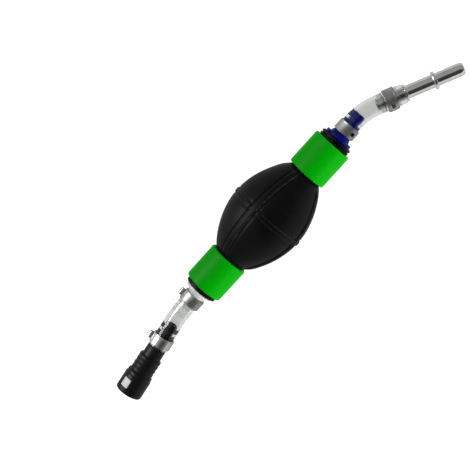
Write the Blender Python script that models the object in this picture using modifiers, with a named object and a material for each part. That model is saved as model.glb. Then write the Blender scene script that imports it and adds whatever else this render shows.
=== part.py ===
"""Hand siphon bulb pump: a rubber bulb between two check valves, with short clear hoses, a quick coupler
on the inlet and a beaded pipe spigot on the outlet.

Every piece is modelled round the bulb's own axis, which is X. The liquid flows towards +X, +Z is up and the
spigot bends towards -Y. At the end the whole pump is moved so that the origin is under the middle of its
box, on the surface that the bulb lies on.
"""

import math

import bmesh
import bpy
from mathutils import Matrix, Vector

MM = 0.001

# ---- clearances ----
FIT_GAP = 0.3 * MM  # between pieces that seat on each other
HOSE_GAP = 0.2 * MM  # between a barb's crest and the bore of its hose
SEAL_GAP = 0.15 * MM  # between a closed poppet and its seat

# ---- rubber bulb ----
BULB_HALF = 40.0 * MM  # middle of the bulb to the edge of a sleeve
BULB_R = 28.4 * MM  # outside radius at the middle, beside the band
BULB_FULLNESS = 0.76  # power of the cosine that shapes the bulb: lower is fuller
BULB_WALL = 3.4 * MM
NECK_R = 11.6 * MM
NECK_WALL = 2.6 * MM
WELT_COUNT = 4
WELT_WIDTH = 3.9 * MM
WELT_HEIGHT = 0.9 * MM
WELT_ROOT = 1.4 * MM  # how deep a welt reaches into the wall
WELT_TURN_DEG = -27.0  # first welt, from +Z towards -Y: a whole number of bulb segments
BAND_WIDTH = 3.3 * MM
BAND_HEIGHT = 0.6 * MM
LIP_HEIGHT = 0.8 * MM
OUTLET_LIP_COUNT = 2
OUTLET_LIP_LENGTH = 2.1 * MM
INLET_LIP_COUNT = 1
INLET_LIP_LENGTH = 3.0 * MM
LIP_EDGE = 0.4 * MM
LIP_GROOVE = 0.5 * MM  # between one lip ring and the next
LIP_FLOOR = 0.2 * MM  # height of the groove's floor over the neck

# ---- sleeves over the necks ----
SLEEVE_LENGTH = 27.6 * MM
SLEEVE_WALL = 2.85 * MM
SLEEVE_EDGE = 1.5 * MM

# ---- check valves, one in each end cap ----
VALVE_R = 6.0 * MM
SEAT_LENGTH = 3.0 * MM
SEAT_BORE = 2.6 * MM
SEAT_CHAMFER = 0.9 * MM
CAGE_LENGTH = 10.4 * MM
CAGE_WALL = 0.9 * MM
CAGE_FLOOR = 1.4 * MM
CAGE_BOSS_LENGTH = 2.0 * MM
CAGE_BOSS_WALL = 0.8 * MM
CAGE_HOLES = 4
CAGE_HOLE_R = 1.2 * MM
POPPET_HEAD_R = 4.2 * MM
POPPET_HEAD_LENGTH = 1.5 * MM
STEM_R = 1.0 * MM
STEM_GAP = 0.2 * MM
STEM_TIP = 0.6 * MM  # how far the stem reaches past the cage when shut
VALVE_LIFT = 2.0 * MM
SPRING_WIRE_R = 0.22 * MM
SPRING_TURNS = 4
SPRING_POINTS_PER_TURN = 8

# ---- end caps ----
PLUG_LENGTH = 19.0 * MM
FLANGE_R = 10.5 * MM
FLANGE_LENGTH = 1.9 * MM
FLANGE_EDGE = 0.6 * MM
CONE_R = 8.0 * MM
CONE_LENGTH = 2.9 * MM
CAP_BARB_LENGTH = 17.8 * MM
CAP_BARB_TEETH = 2

# ---- barbs and hoses ----
HOSE_R = 6.85 * MM
HOSE_WALL = 2.15 * MM
BARB_RISE = 0.5 * MM  # crest over root
BARB_PITCH = 5.6 * MM
BARB_LAND = 0.5 * MM
BARB_TIP_DROP = 1.1 * MM  # crest radius less the radius at the very tip
FLOW_BORE = 2.6 * MM
OUTLET_BEND_DEG = 24.9
OUTLET_BEND_R = 48.0 * MM
OUTLET_STRAIGHT_IN = 10.2 * MM
OUTLET_STRAIGHT_OUT = 19.8 * MM
INLET_BEND_DEG = 9.0
INLET_BEND_R = 80.0 * MM
INLET_STRAIGHT_IN = 9.8 * MM
INLET_STRAIGHT_OUT = 24.7 * MM
HOSE_POINT_STEP = 5.0 * MM

# ---- band clamps ----
CLAMP_WIDTH = 8.0 * MM
CLAMP_BAND = 0.7 * MM
CLAMP_TONGUE = 0.5 * MM
CLAMP_TONGUE_WIDTH = 6.6 * MM
CLAMP_TONGUE_FROM_DEG = -30.0
CLAMP_TONGUE_TO_DEG = 62.0
CLAMP_WINDOW_LENGTH = 3.9 * MM  # round the band
CLAMP_WINDOW_WIDTH = 2.6 * MM  # along the hose
CLAMP_NOTCH = 1.1 * MM
CLAMP_NOTCH_DEG = -85.0
CLAMP_EAR_DEG = 180.0
CLAMP_EAR_HEIGHT = 3.2 * MM
CLAMP_EAR_WIDTH = 3.6 * MM
CLAMP_EAR_DEPTH = 4.8 * MM
CAP_CLAMP_SETBACK = 4.2 * MM  # hose end to the middle of the clamp
COUPLER_CLAMP_SETBACK = 5.8 * MM
SPIGOT_CLAMP_SETBACK = 10.3 * MM
OUTLET_WINDOW_DEG = -35.0  # from +Z towards +Y, seen along the flow
INLET_WINDOW_DEG = -90.0

# ---- spigot for a nominal three-eighths inch coupler ----
PIPE_R = 4.745 * MM
PIPE_BORE = 2.9 * MM
PIPE_LENGTH = 43.2 * MM
PIPE_CHAMFER = 2.4 * MM
PIPE_TIP_R = 4.0 * MM
BEAD_R = 6.45 * MM
BEAD_WIDTH = 2.3 * MM
BEAD_FROM_TIP = 21.1 * MM
SHOULDER_R = 6.2 * MM
SHOULDER_WIDTH = 1.3 * MM
PIPE_BARB_LENGTH = 20.7 * MM
PIPE_BARB_TEETH = 3

# ---- quick coupler ----
COUPLER_LENGTH = 39.6 * MM
COLLAR_R = 10.0 * MM
COLLAR_LENGTH = 17.3 * MM
COLLAR_STEP = 0.5 * MM
COLLAR_STEP_LENGTH = 3.2 * MM
NOSE_LENGTH = 4.0 * MM
NOSE_EDGE = 0.7 * MM
NOSE_MOUTH = 1.0 * MM
RIB_R = 8.5 * MM
RIB_DEPTH = 0.6 * MM
RIB_COUNT = 4
RIB_SECTION = 14.0 * MM
COUPLER_NECK_R = 7.0 * MM
BEAD_GAP = 0.35 * MM
SPIGOT_GAP = 0.2 * MM
LATCH_THICK = 6.6 * MM
LATCH_RING = 0.8 * MM
LATCH_TRAVEL = 1.2 * MM
BUTTON_WIDTH = 5.9 * MM
BUTTON_PROUD = 0.15 * MM
BUTTON_ROOT = 1.6 * MM
WINDOW_GAP = 0.2 * MM
BUTTON_DEG = 36.0  # from +Z towards +Y
LEAF_THICK = 0.3 * MM
LEAF_WIDTH = 3.0 * MM
LEAF_SPAN = 0.32  # half the leaf's span as a share of the latch's radius
RING_SECTION_R = 0.8 * MM
SPACER_LENGTH = 1.5 * MM
BUSH_LENGTH = 2.4 * MM
SEAL_POCKET_GAP = 0.2 * MM

# ---- facets ----
BULB_SEGMENTS = 40
ROUND_SEGMENTS = 24
SMALL_SEGMENTS = 16
WIRE_SEGMENTS = 6
HOSE_SEGMENTS = 20
CHAMBER_ARC_STEPS = 10
SHARP_DEG = 35.0
HOSE_OVERRUN = 2.0 * MM  # cutters run past the faces that they open
CUT_OVERRUN = 2.0 * MM

# ---- sizes that follow from those above ----
NECK_BORE = NECK_R - NECK_WALL
SLEEVE_BORE = NECK_R + FIT_GAP
LIP_START = BULB_HALF + SLEEVE_LENGTH + FIT_GAP
OUTLET_FACE = LIP_START + OUTLET_LIP_COUNT * OUTLET_LIP_LENGTH
INLET_FACE = LIP_START + INLET_LIP_COUNT * INLET_LIP_LENGTH
PLUG_R = NECK_BORE - FIT_GAP
HOSE_BORE = HOSE_R - HOSE_WALL
BARB_CREST = HOSE_BORE - HOSE_GAP
BARB_ROOT = BARB_CREST - BARB_RISE
VALVE_LENGTH = SEAT_LENGTH + FIT_GAP + CAGE_LENGTH
POCKET_DEPTH = VALVE_LENGTH + 2 * FIT_GAP
HOSE_STOP = FLANGE_LENGTH + CONE_LENGTH
BEAD_BORE = BEAD_R + BEAD_GAP
SPIGOT_BORE = PIPE_R + SPIGOT_GAP
SEAL_BORE = SPIGOT_BORE + 2 * RING_SECTION_R + SEAL_POCKET_GAP
LATCH_R = BEAD_BORE + LATCH_RING

BLACK_RUBBER = ("black_rubber", (0.012, 0.012, 0.013), 0.42, 0.0, 1.0)
GREEN_PLASTIC = ("green_plastic", (0.01, 0.52, 0.01), 0.38, 0.0, 1.0)
BLUE_NYLON = ("blue_nylon", (0.012, 0.012, 0.16), 0.3, 0.0, 1.0)
WHITE_NYLON = ("white_nylon", (0.75, 0.76, 0.74), 0.35, 0.0, 1.0)
CLEAR_HOSE = ("clear_hose", (0.82, 0.86, 0.84), 0.12, 0.0, 0.35)
STEEL_BAND = ("steel_band", (0.52, 0.53, 0.52), 0.3, 1.0, 1.0)
POLISHED_STEEL = ("polished_steel", (0.62, 0.62, 0.6), 0.12, 1.0, 1.0)
BLACK_NYLON = ("black_nylon", (0.015, 0.015, 0.017), 0.38, 0.0, 1.0)
GREY_LATCH = ("grey_latch", (0.6, 0.61, 0.66), 0.4, 0.0, 1.0)
VALVE_ACETAL = ("valve_acetal", (0.78, 0.78, 0.75), 0.4, 0.0, 1.0)
SEAL_RUBBER = ("seal_rubber", (0.02, 0.02, 0.02), 0.5, 0.0, 1.0)
SPRING_STEEL = ("spring_steel", (0.6, 0.6, 0.6), 0.25, 1.0, 1.0)


# ---------------------------------------------------------------- scene helpers


def clear_scene():
    for old in list(bpy.data.objects):
        bpy.data.objects.remove(old, do_unlink=True)


def new_collection(name):
    collection = bpy.data.collections.new(name)
    bpy.context.scene.collection.children.link(collection)
    return collection


def material_of(spec):
    """The Principled material of a (name, colour, roughness, metallic, alpha) tuple, made once."""
    name, colour, roughness, metallic, alpha = spec
    found = bpy.data.materials.get(name)
    if found:
        return found
    made = bpy.data.materials.new(name)
    made.use_nodes = True
    shader = made.node_tree.nodes["Principled BSDF"]
    shader.inputs["Base Color"].default_value = (*colour, 1.0)
    shader.inputs["Roughness"].default_value = roughness
    shader.inputs["Metallic"].default_value = metallic
    shader.inputs["Alpha"].default_value = alpha
    return made


def place(obj, frame, collection, material=None):
    """Puts an object in a collection, on the pump's base empty, with its material."""
    collection.objects.link(obj)
    obj.parent = BASE
    obj.matrix_local = frame
    if material:
        obj.data.materials.clear()
        obj.data.materials.append(material_of(material))
        obj.data.shade_smooth()
        obj.data.set_sharp_from_angle(angle=math.radians(SHARP_DEG))
    if collection == CUTTERS:
        obj.hide_render = True
        obj.display_type = "WIRE"
    return obj


def frame_along(origin, direction, side):
    """A matrix whose Z runs along direction and whose X is the part of side that is square to it."""
    z = Vector(direction).normalized()
    x = (Vector(side) - Vector(side).dot(z) * z).normalized()
    y = z.cross(x)
    turned_frame = Matrix((x, y, z)).transposed().to_4x4()
    turned_frame.translation = Vector(origin)
    return turned_frame


def shifted(frame, distance):
    """The frame moved by distance along its own Z."""
    return frame @ Matrix.Translation((0, 0, distance))


# ---------------------------------------------------------------- shape helpers


def turned_mesh_object(name, profile, segments, closed=True):
    """A Screw round Z. The profile runs down its outer side, (radius, z) from top to bottom, and back up."""
    mesh = bpy.data.meshes.new(name)
    points = [(radius, 0.0, z) for radius, z in profile]
    edges = [(i, i + 1) for i in range(len(points) - 1)]
    if closed:
        edges.append((len(points) - 1, 0))
    mesh.from_pydata(points, edges, [])
    obj = bpy.data.objects.new(name, mesh)
    screw = obj.modifiers.new("turn", "SCREW")
    screw.axis = "Z"
    screw.angle = math.tau
    screw.steps = segments
    screw.render_steps = segments
    screw.use_merge_vertices = True
    screw.merge_threshold = 0.000001
    screw.use_smooth_shade = False
    return obj


def arc_points(centre, radius, start_deg, end_deg, steps):
    """Points of an arc in the plane, both ends included."""
    turn = [math.radians(start_deg + (end_deg - start_deg) * i / steps) for i in range(steps + 1)]
    return [(centre[0] + radius * math.cos(t), centre[1] + radius * math.sin(t)) for t in turn]


def fillet(profile, radii, steps=3):
    """The profile with the corners named in radii, {index: radius}, rounded by an arc."""
    rounded = []
    count = len(profile)
    for i, point in enumerate(profile):
        if i not in radii:
            rounded.append(point)
            continue
        here = Vector(point)
        back = (Vector(profile[i - 1]) - here).normalized()
        ahead = (Vector(profile[(i + 1) % count]) - here).normalized()
        half = back.angle(ahead) / 2
        reach = radii[i] / math.tan(half)
        centre = here + (back + ahead).normalized() * (radii[i] / math.sin(half))
        start = here + back * reach - centre
        end = here + ahead * reach - centre
        for k in range(steps + 1):
            rounded.append(tuple(centre + start.slerp(end, k / steps) * radii[i]))
    return rounded


def baked(obj):
    """A plain mesh of the object as its modifiers leave it. The object itself is removed."""
    bpy.context.scene.collection.objects.link(obj)
    bpy.context.view_layer.update()
    graph = bpy.context.evaluated_depsgraph_get()
    mesh = bpy.data.meshes.new_from_object(obj.evaluated_get(graph))
    mesh.name = obj.name
    bpy.data.objects.remove(obj, do_unlink=True)
    return mesh


def plate_mesh(name, outlines, depth):
    """A flat outline, with any holes, extruded depth along Z and centred on it, as one welded mesh."""
    curve = bpy.data.curves.new(name, "CURVE")
    curve.dimensions = "2D"
    curve.fill_mode = "BOTH"
    curve.extrude = depth / 2
    for outline in outlines:
        spline = curve.splines.new("POLY")
        spline.points.add(len(outline) - 1)
        for point, (x, y) in zip(spline.points, outline):
            point.co = (x, y, 0.0, 1.0)
        spline.use_cyclic_u = True
    mesh = baked(bpy.data.objects.new(name, curve))
    return welded(mesh)


def tube_mesh(name, points, radius, segments):
    """A round tube with closed ends along points, as one welded mesh."""
    curve = bpy.data.curves.new(name, "CURVE")
    curve.dimensions = "3D"
    curve.bevel_depth = radius
    curve.bevel_resolution = (segments - 4) // 2
    curve.use_fill_caps = True
    spline = curve.splines.new("POLY")
    spline.points.add(len(points) - 1)
    for point, place_at in zip(spline.points, points):
        point.co = (*place_at, 1.0)
    mesh = baked(bpy.data.objects.new(name, curve))
    return welded(mesh)


def welded(mesh):
    """Joins the loose caps of a mesh made from a curve and turns its faces outwards."""
    cage = bmesh.new()
    cage.from_mesh(mesh)
    bmesh.ops.remove_doubles(cage, verts=cage.verts, dist=0.000001)
    bmesh.ops.recalc_face_normals(cage, faces=cage.faces)
    cage.to_mesh(mesh)
    cage.free()
    return mesh


def box_mesh(name, size, centre=(0, 0, 0)):
    """A box of the given size about centre."""
    mesh = bpy.data.meshes.new(name)
    cage = bmesh.new()
    grown = Matrix.Translation(centre) @ Matrix.Diagonal((*size, 1.0))
    bmesh.ops.create_cube(cage, size=1.0, matrix=grown)
    cage.to_mesh(mesh)
    cage.free()
    return mesh


def cylinder_mesh(name, radius, length, segments, centre=(0, 0, 0)):
    """A closed cylinder along Z about centre."""
    mesh = bpy.data.meshes.new(name)
    cage = bmesh.new()
    bmesh.ops.create_cone(
        cage,
        cap_ends=True,
        segments=segments,
        radius1=radius,
        radius2=radius,
        depth=length,
        matrix=Matrix.Translation(centre),
    )
    cage.to_mesh(mesh)
    cage.free()
    return mesh


def boolean(obj, other, operation):
    """Adds a Boolean of obj with another object."""
    modifier = obj.modifiers.new(other.name, "BOOLEAN")
    modifier.operation = operation
    modifier.object = other
    modifier.solver = "EXACT"


def add_turned(name, profile, frame, material, segments=ROUND_SEGMENTS):
    """One turned piece of the pump in its place."""
    return place(turned_mesh_object(name, profile, segments), frame, PUMP, material)


def add_mesh(name, mesh, frame, material):
    """One piece of the pump from a ready mesh in its place."""
    return place(bpy.data.objects.new(name, mesh), frame, PUMP, material)


def helper(name, mesh, frame):
    """A cutter, or a solid that another piece takes in, hidden from the render."""
    return place(bpy.data.objects.new(name, mesh), frame, CUTTERS)


# ---------------------------------------------------------------- rubber bulb


def bulb_radius(x):
    """Outside radius of the bulb at x from its middle: a cosine bulge on the neck radius."""
    share = min(abs(x) / BULB_HALF, 1.0)
    bulge = max(math.cos(share * math.pi / 2), 0.0) ** BULB_FULLNESS
    return NECK_R + (BULB_R - NECK_R) * bulge


def bulb_stations(count):
    """Distances from the middle, closer together towards the necks, from one sleeve edge to the other."""
    turn = [math.pi * (i / (count - 1) - 0.5) for i in range(count)]
    return [BULB_HALF * math.sin(t) for t in turn]


def lip_profile(start, lips, length):
    """Outer points of the lip rings on one neck, going outwards: a groove parts each ring from the next."""
    crest = NECK_R + LIP_HEIGHT
    points = []
    for i in range(lips):
        low = start + i * length
        high = low + length - (LIP_GROOVE if i < lips - 1 else 0.0)
        foot = NECK_R + (LIP_FLOOR if i else 0.0)
        points += [
            (foot, low),
            (crest - LIP_EDGE, low),
            (crest, low + LIP_EDGE),
            (crest, high - LIP_EDGE),
            (crest - LIP_EDGE, high),
        ]
        if i < lips - 1:
            points.append((NECK_R + LIP_FLOOR, high))
    return points


def bulb_profile():
    """Closed section of the hollow bulb: lips, necks, the bulge with its band, and the cavity."""
    half_band = BAND_WIDTH / 2
    outer = []
    for x in bulb_stations(17):
        if abs(x) > half_band * 1.5:
            outer.append((bulb_radius(x), x))
    crest = BULB_R + BAND_HEIGHT
    band = [
        (bulb_radius(half_band), -half_band),
        (crest, -half_band + BAND_HEIGHT),
        (crest, half_band - BAND_HEIGHT),
        (bulb_radius(half_band), half_band),
    ]
    low = [point for point in outer if point[1] < 0]
    high = [point for point in outer if point[1] > 0]
    inlet_lips = [(r, -z) for r, z in lip_profile(LIP_START, INLET_LIP_COUNT, INLET_LIP_LENGTH)]
    outlet_lips = lip_profile(LIP_START, OUTLET_LIP_COUNT, OUTLET_LIP_LENGTH)
    outside = inlet_lips[::-1] + low + band + high + outlet_lips
    cavity = []
    for x in bulb_stations(13):
        radius = max(bulb_radius(x) - BULB_WALL, NECK_BORE)
        if radius > NECK_BORE:
            cavity.append((radius, x))
    ends = [(NECK_BORE, -INLET_FACE)], [(NECK_BORE, OUTLET_FACE)]
    mouth_x = BULB_HALF * 2 / math.pi * math.acos(
        min(1.0, (NECK_BORE + BULB_WALL - NECK_R) / (BULB_R - NECK_R)) ** (1 / BULB_FULLNESS)
    )
    cavity = [(NECK_BORE, -mouth_x), *cavity, (NECK_BORE, mouth_x)]
    inside = ends[0] + cavity + ends[1]
    return outside[::-1] + inside


def welt_mesh():
    """One raised welt: a crescent that follows the bulb's outline, extruded to the welt's width."""
    steps = 15
    reach = BULB_HALF - FIT_GAP
    xs = [reach * math.sin(math.pi * (i / steps - 0.5)) for i in range(steps + 1)]
    top = [(x, bulb_radius(x) + WELT_HEIGHT) for x in xs]
    bottom = [(x, bulb_radius(x) - WELT_ROOT) for x in reversed(xs)]
    return plate_mesh("welt", [top + bottom], WELT_WIDTH)


def build_bulb():
    half_segment = Matrix.Rotation(math.pi / BULB_SEGMENTS, 4, "Z")  # so that a flat lies under each welt
    bulb = turned_mesh_object("squeeze_bulb", bulb_profile(), BULB_SEGMENTS)
    place(bulb, PUMP_AXIS @ half_segment, PUMP, BLACK_RUBBER)
    mesh = welt_mesh()
    for i in range(WELT_COUNT):
        turn = Matrix.Rotation(math.radians(WELT_TURN_DEG) + math.tau * i / WELT_COUNT, 4, "X")
        stand_up = Matrix.Rotation(math.pi / 2, 4, "X")
        welt = helper(f"welt_{i + 1}", mesh, turn @ stand_up)
        boolean(bulb, welt, "UNION")


def build_sleeves():
    outer = SLEEVE_BORE + SLEEVE_WALL
    half = SLEEVE_LENGTH / 2
    corners = [(outer, half), (outer, -half), (SLEEVE_BORE, -half), (SLEEVE_BORE, half)]
    profile = fillet(corners, {0: SLEEVE_EDGE, 1: SLEEVE_EDGE})
    for name, side in (("inlet_sleeve", -1), ("outlet_sleeve", 1)):
        middle = (side * (BULB_HALF + half), 0, 0)
        frame = frame_along(middle, (1, 0, 0), (0, 0, 1))
        add_turned(name, profile, frame, GREEN_PLASTIC, BULB_SEGMENTS)


# ---------------------------------------------------------------- caps with barbs


def barb_points(tip_z, root_z, teeth):
    """Outer points of a hose barb from its tip down to its root: each tooth slopes up away from the tip."""
    sign = 1 if tip_z > root_z else -1
    points = [(BARB_CREST - BARB_TIP_DROP, tip_z)]
    for i in range(teeth):
        crest_z = tip_z - sign * (BARB_PITCH * (i + 1) - 2 * BARB_LAND)
        if i:
            points.append((BARB_ROOT, crest_z + sign * (BARB_PITCH - 2 * BARB_LAND)))
        points += [
            (BARB_CREST, crest_z),
            (BARB_CREST, crest_z - sign * BARB_LAND),
            (BARB_ROOT, crest_z - sign * BARB_LAND * 1.6),
        ]
    points.append((BARB_ROOT, root_z))
    return points


def cap_profile():
    """Section of an end cap, tip up: barb, cone, flange and the plug whose pocket takes the valve."""
    tip = HOSE_STOP + FIT_GAP + CAP_BARB_LENGTH
    outer = barb_points(tip, HOSE_STOP, CAP_BARB_TEETH) + [
        (HOSE_R, HOSE_STOP),
        (CONE_R, FLANGE_LENGTH),
        (FLANGE_R - FLANGE_EDGE, FLANGE_LENGTH),
        (FLANGE_R, FLANGE_LENGTH - FLANGE_EDGE),
        (FLANGE_R, 0.0),
        (PLUG_R, 0.0),
        (PLUG_R, -PLUG_LENGTH),
    ]
    pocket_r = VALVE_R + FIT_GAP
    inner = [
        (pocket_r, -PLUG_LENGTH),
        (pocket_r, -PLUG_LENGTH + POCKET_DEPTH),
        (FLOW_BORE, -PLUG_LENGTH + POCKET_DEPTH),
        (FLOW_BORE, tip),
    ]
    return outer + inner


def build_caps():
    profile = cap_profile()
    add_turned("outlet_cap", profile, OUTLET_CAP_FRAME, BLUE_NYLON)
    add_turned("inlet_cap", profile, INLET_CAP_FRAME, WHITE_NYLON)


# ---------------------------------------------------------------- check valves


def seat_profile():
    return [
        (SEAT_BORE + SEAT_CHAMFER, SEAT_LENGTH),
        (VALVE_R, SEAT_LENGTH),
        (VALVE_R, 0.0),
        (SEAT_BORE, 0.0),
        (SEAT_BORE, SEAT_LENGTH - SEAT_CHAMFER),
    ]


def cage_profile():
    """A cup over the poppet: its floor carries the boss that guides the stem."""
    bottom = SEAT_LENGTH + FIT_GAP
    top = bottom + CAGE_LENGTH
    guide = STEM_R + STEM_GAP
    boss = guide + CAGE_BOSS_WALL
    under = top - CAGE_FLOOR
    return [
        (guide, top),
        (VALVE_R, top),
        (VALVE_R, bottom),
        (VALVE_R - CAGE_WALL, bottom),
        (VALVE_R - CAGE_WALL, under),
        (boss, under),
        (boss, under - CAGE_BOSS_LENGTH),
        (guide, under - CAGE_BOSS_LENGTH),
    ]


def poppet_profile():
    """A mushroom with a cone that shuts the seat, on a stem that runs in the cage."""
    face = SEAT_LENGTH + SEAL_GAP
    back = face + POPPET_HEAD_LENGTH
    top = SEAT_LENGTH + FIT_GAP + CAGE_LENGTH + STEM_TIP
    return [
        (0.0, top),
        (STEM_R, top),
        (STEM_R, back + STEM_R / 2),
        (STEM_R * 1.5, back),
        (POPPET_HEAD_R, back),
        (POPPET_HEAD_R, face),
        (SEAT_BORE + SEAT_CHAMFER, face),
        (SEAT_BORE, face - SEAT_CHAMFER),
        (0.0, face - SEAT_CHAMFER),
    ]


def spring_points():
    """Centre line of the valve spring, from the poppet's back to the cage floor, with a flat turn at each end."""
    guide_r = STEM_R + STEM_GAP + CAGE_BOSS_WALL
    radius = (guide_r + VALVE_R - CAGE_WALL) / 2
    low = SEAT_LENGTH + SEAL_GAP + POPPET_HEAD_LENGTH + SPRING_WIRE_R + FIT_GAP
    high = SEAT_LENGTH + FIT_GAP + CAGE_LENGTH - CAGE_FLOOR - SPRING_WIRE_R - FIT_GAP
    count = SPRING_TURNS * SPRING_POINTS_PER_TURN
    points = []
    for i in range(count + 1):
        turn = math.tau * i / SPRING_POINTS_PER_TURN
        share = i / count
        eased = share - math.sin(math.tau * share) / (math.tau * 2)
        points.append((radius * math.cos(turn), radius * math.sin(turn), low + (high - low) * eased))
    return points


def least_coil_gap(points, wire_r, per_turn):
    """The least clear distance between one turn of a coil and the next, on its points."""
    gaps = [(Vector(points[i + per_turn]) - Vector(points[i])).length for i in range(len(points) - per_turn)]
    return min(gaps) - 2 * wire_r


def build_valve(side, frame):
    """The seat, cage, poppet and spring of one check valve. Its flow runs along the frame's Z."""
    add_turned(f"{side}_valve_seat", seat_profile(), frame, VALVE_ACETAL, SMALL_SEGMENTS)
    cage = turned_mesh_object(f"{side}_valve_cage", cage_profile(), SMALL_SEGMENTS)
    place(cage, frame, PUMP, VALVE_ACETAL)
    hole_ring = (STEM_R + STEM_GAP + CAGE_BOSS_WALL + VALVE_R - CAGE_WALL) / 2
    top = SEAT_LENGTH + FIT_GAP + CAGE_LENGTH
    for i in range(CAGE_HOLES):
        turn = math.tau * (i + 0.5) / CAGE_HOLES
        centre = (hole_ring * math.cos(turn), hole_ring * math.sin(turn), top - CAGE_FLOOR / 2)
        mesh = cylinder_mesh("flow_hole", CAGE_HOLE_R, CAGE_FLOOR + CUT_OVERRUN, 8, centre)
        boolean(cage, helper(f"{side}_flow_hole_{i + 1}", mesh, frame), "DIFFERENCE")
    poppet = turned_mesh_object(f"{side}_valve_poppet", poppet_profile(), SMALL_SEGMENTS, closed=False)
    place(poppet, frame, PUMP, SEAL_RUBBER)
    spring = tube_mesh("valve_spring", spring_points(), SPRING_WIRE_R, WIRE_SEGMENTS)
    add_mesh(f"{side}_valve_spring", spring, frame, SPRING_STEEL)


def build_valves():
    build_valve("inlet", shifted(PUMP_AXIS, -INLET_FACE - FIT_GAP + PLUG_LENGTH - POCKET_DEPTH + FIT_GAP))
    build_valve("outlet", shifted(PUMP_AXIS, OUTLET_FACE + FIT_GAP - PLUG_LENGTH + FIT_GAP))


# ---------------------------------------------------------------- hoses


def hose_route(frame, straight_in, radius, bend_deg, straight_out):
    """Points from a hose's start along the frame's Z, through one even bend towards its X, to its end.

    Returns the points and the frame at the far end."""
    bend = math.radians(bend_deg)
    total = straight_in + radius * bend + straight_out
    count = max(2, round(total / HOSE_POINT_STEP))

    def at(distance):
        straight = min(distance, straight_in)
        angle = min(max(distance - straight_in, 0.0) / radius, bend)
        rest = max(distance - straight_in - radius * bend, 0.0)
        x = radius * (1 - math.cos(angle)) + rest * math.sin(bend)
        z = straight + radius * math.sin(angle) + rest * math.cos(bend)
        return frame @ Vector((x, 0.0, z))

    stops = {0.0, straight_in, straight_in + radius * bend, total}
    stops |= {total * i / count for i in range(1, count)}
    kept = []
    for distance in sorted(stops):
        if not kept or distance - kept[-1] > HOSE_POINT_STEP / 3 or distance == total:
            kept.append(distance)
    end = frame_along(at(total), frame.to_3x3() @ Vector((math.sin(bend), 0, math.cos(bend))), (0, 0, 1))
    return [at(distance) for distance in kept], end


def build_hose(name, route, material):
    """A hose with its bore along a route."""
    outside = tube_mesh(name, route, HOSE_R, HOSE_SEGMENTS)
    hose = add_mesh(name, outside, Matrix.Identity(4), material)
    first = (route[0] - route[1]).normalized() * HOSE_OVERRUN
    last = (route[-1] - route[-2]).normalized() * HOSE_OVERRUN
    through = [route[0] + first, *route, route[-1] + last]
    bore = tube_mesh(f"{name}_bore", through, HOSE_BORE, HOSE_SEGMENTS)
    boolean(hose, helper(f"{name}_bore", bore, Matrix.Identity(4)), "DIFFERENCE")


# ---------------------------------------------------------------- clamps


def clamp_mesh():
    """A crimped band clamp round Z. Its window faces +X, with the overlapping tongue round it."""
    inner = HOSE_R + FIT_GAP
    outer = inner + CLAMP_BAND
    half = CLAMP_WIDTH / 2
    band_profile = [(outer, half), (outer, -half), (inner, -half), (inner, half)]
    band = turned_mesh_object("clamp_band", band_profile, ROUND_SEGMENTS)
    bpy.context.scene.collection.objects.link(band)

    tongue_inner = inner + CLAMP_BAND / 2
    tongue_outer = outer + CLAMP_TONGUE
    span = (CLAMP_TONGUE_FROM_DEG, CLAMP_TONGUE_TO_DEG)
    arc_out = arc_points((0, 0), tongue_outer, *span, 8)
    arc_in = arc_points((0, 0), tongue_inner, *span[::-1], 8)
    tongue = plate_mesh("tongue", [arc_out + arc_in], CLAMP_TONGUE_WIDTH)

    ear_r = CLAMP_EAR_WIDTH / 2
    top = outer + CLAMP_EAR_HEIGHT - ear_r
    foot = inner + CLAMP_BAND / 2
    hole_r = ear_r - CLAMP_BAND
    loop = [(foot, -ear_r), *arc_points((top, 0), ear_r, -90, 90, 6), (foot, ear_r)]
    hollow = [(outer, -hole_r), *arc_points((top, 0), hole_r, -90, 90, 6), (outer, hole_r)]
    ear = plate_mesh("ear", [loop, hollow], CLAMP_EAR_DEPTH)

    window_size = (CUT_OVERRUN * 2, CLAMP_WINDOW_LENGTH, CLAMP_WINDOW_WIDTH)
    window = box_mesh("window", window_size, (outer, 0, 0))
    notch_size = (CUT_OVERRUN * 2, CLAMP_NOTCH, CLAMP_NOTCH)
    notch = box_mesh("notch", notch_size, (outer, 0, half))

    helpers = []
    steps = (
        (tongue, 0.0, "UNION"),
        (ear, CLAMP_EAR_DEG, "UNION"),
        (window, 0.0, "DIFFERENCE"),
        (notch, CLAMP_NOTCH_DEG, "DIFFERENCE"),
    )
    for mesh, turn_deg, operation in steps:
        other = bpy.data.objects.new(mesh.name, mesh)
        other.matrix_world = Matrix.Rotation(math.radians(turn_deg), 4, "Z")
        bpy.context.scene.collection.objects.link(other)
        boolean(band, other, operation)
        helpers.append(other)
    bpy.context.view_layer.update()
    graph = bpy.context.evaluated_depsgraph_get()
    mesh = bpy.data.meshes.new_from_object(band.evaluated_get(graph))
    for other in [band, *helpers]:
        bpy.data.objects.remove(other, do_unlink=True)
    mesh.name = "clamp"
    return mesh


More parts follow.
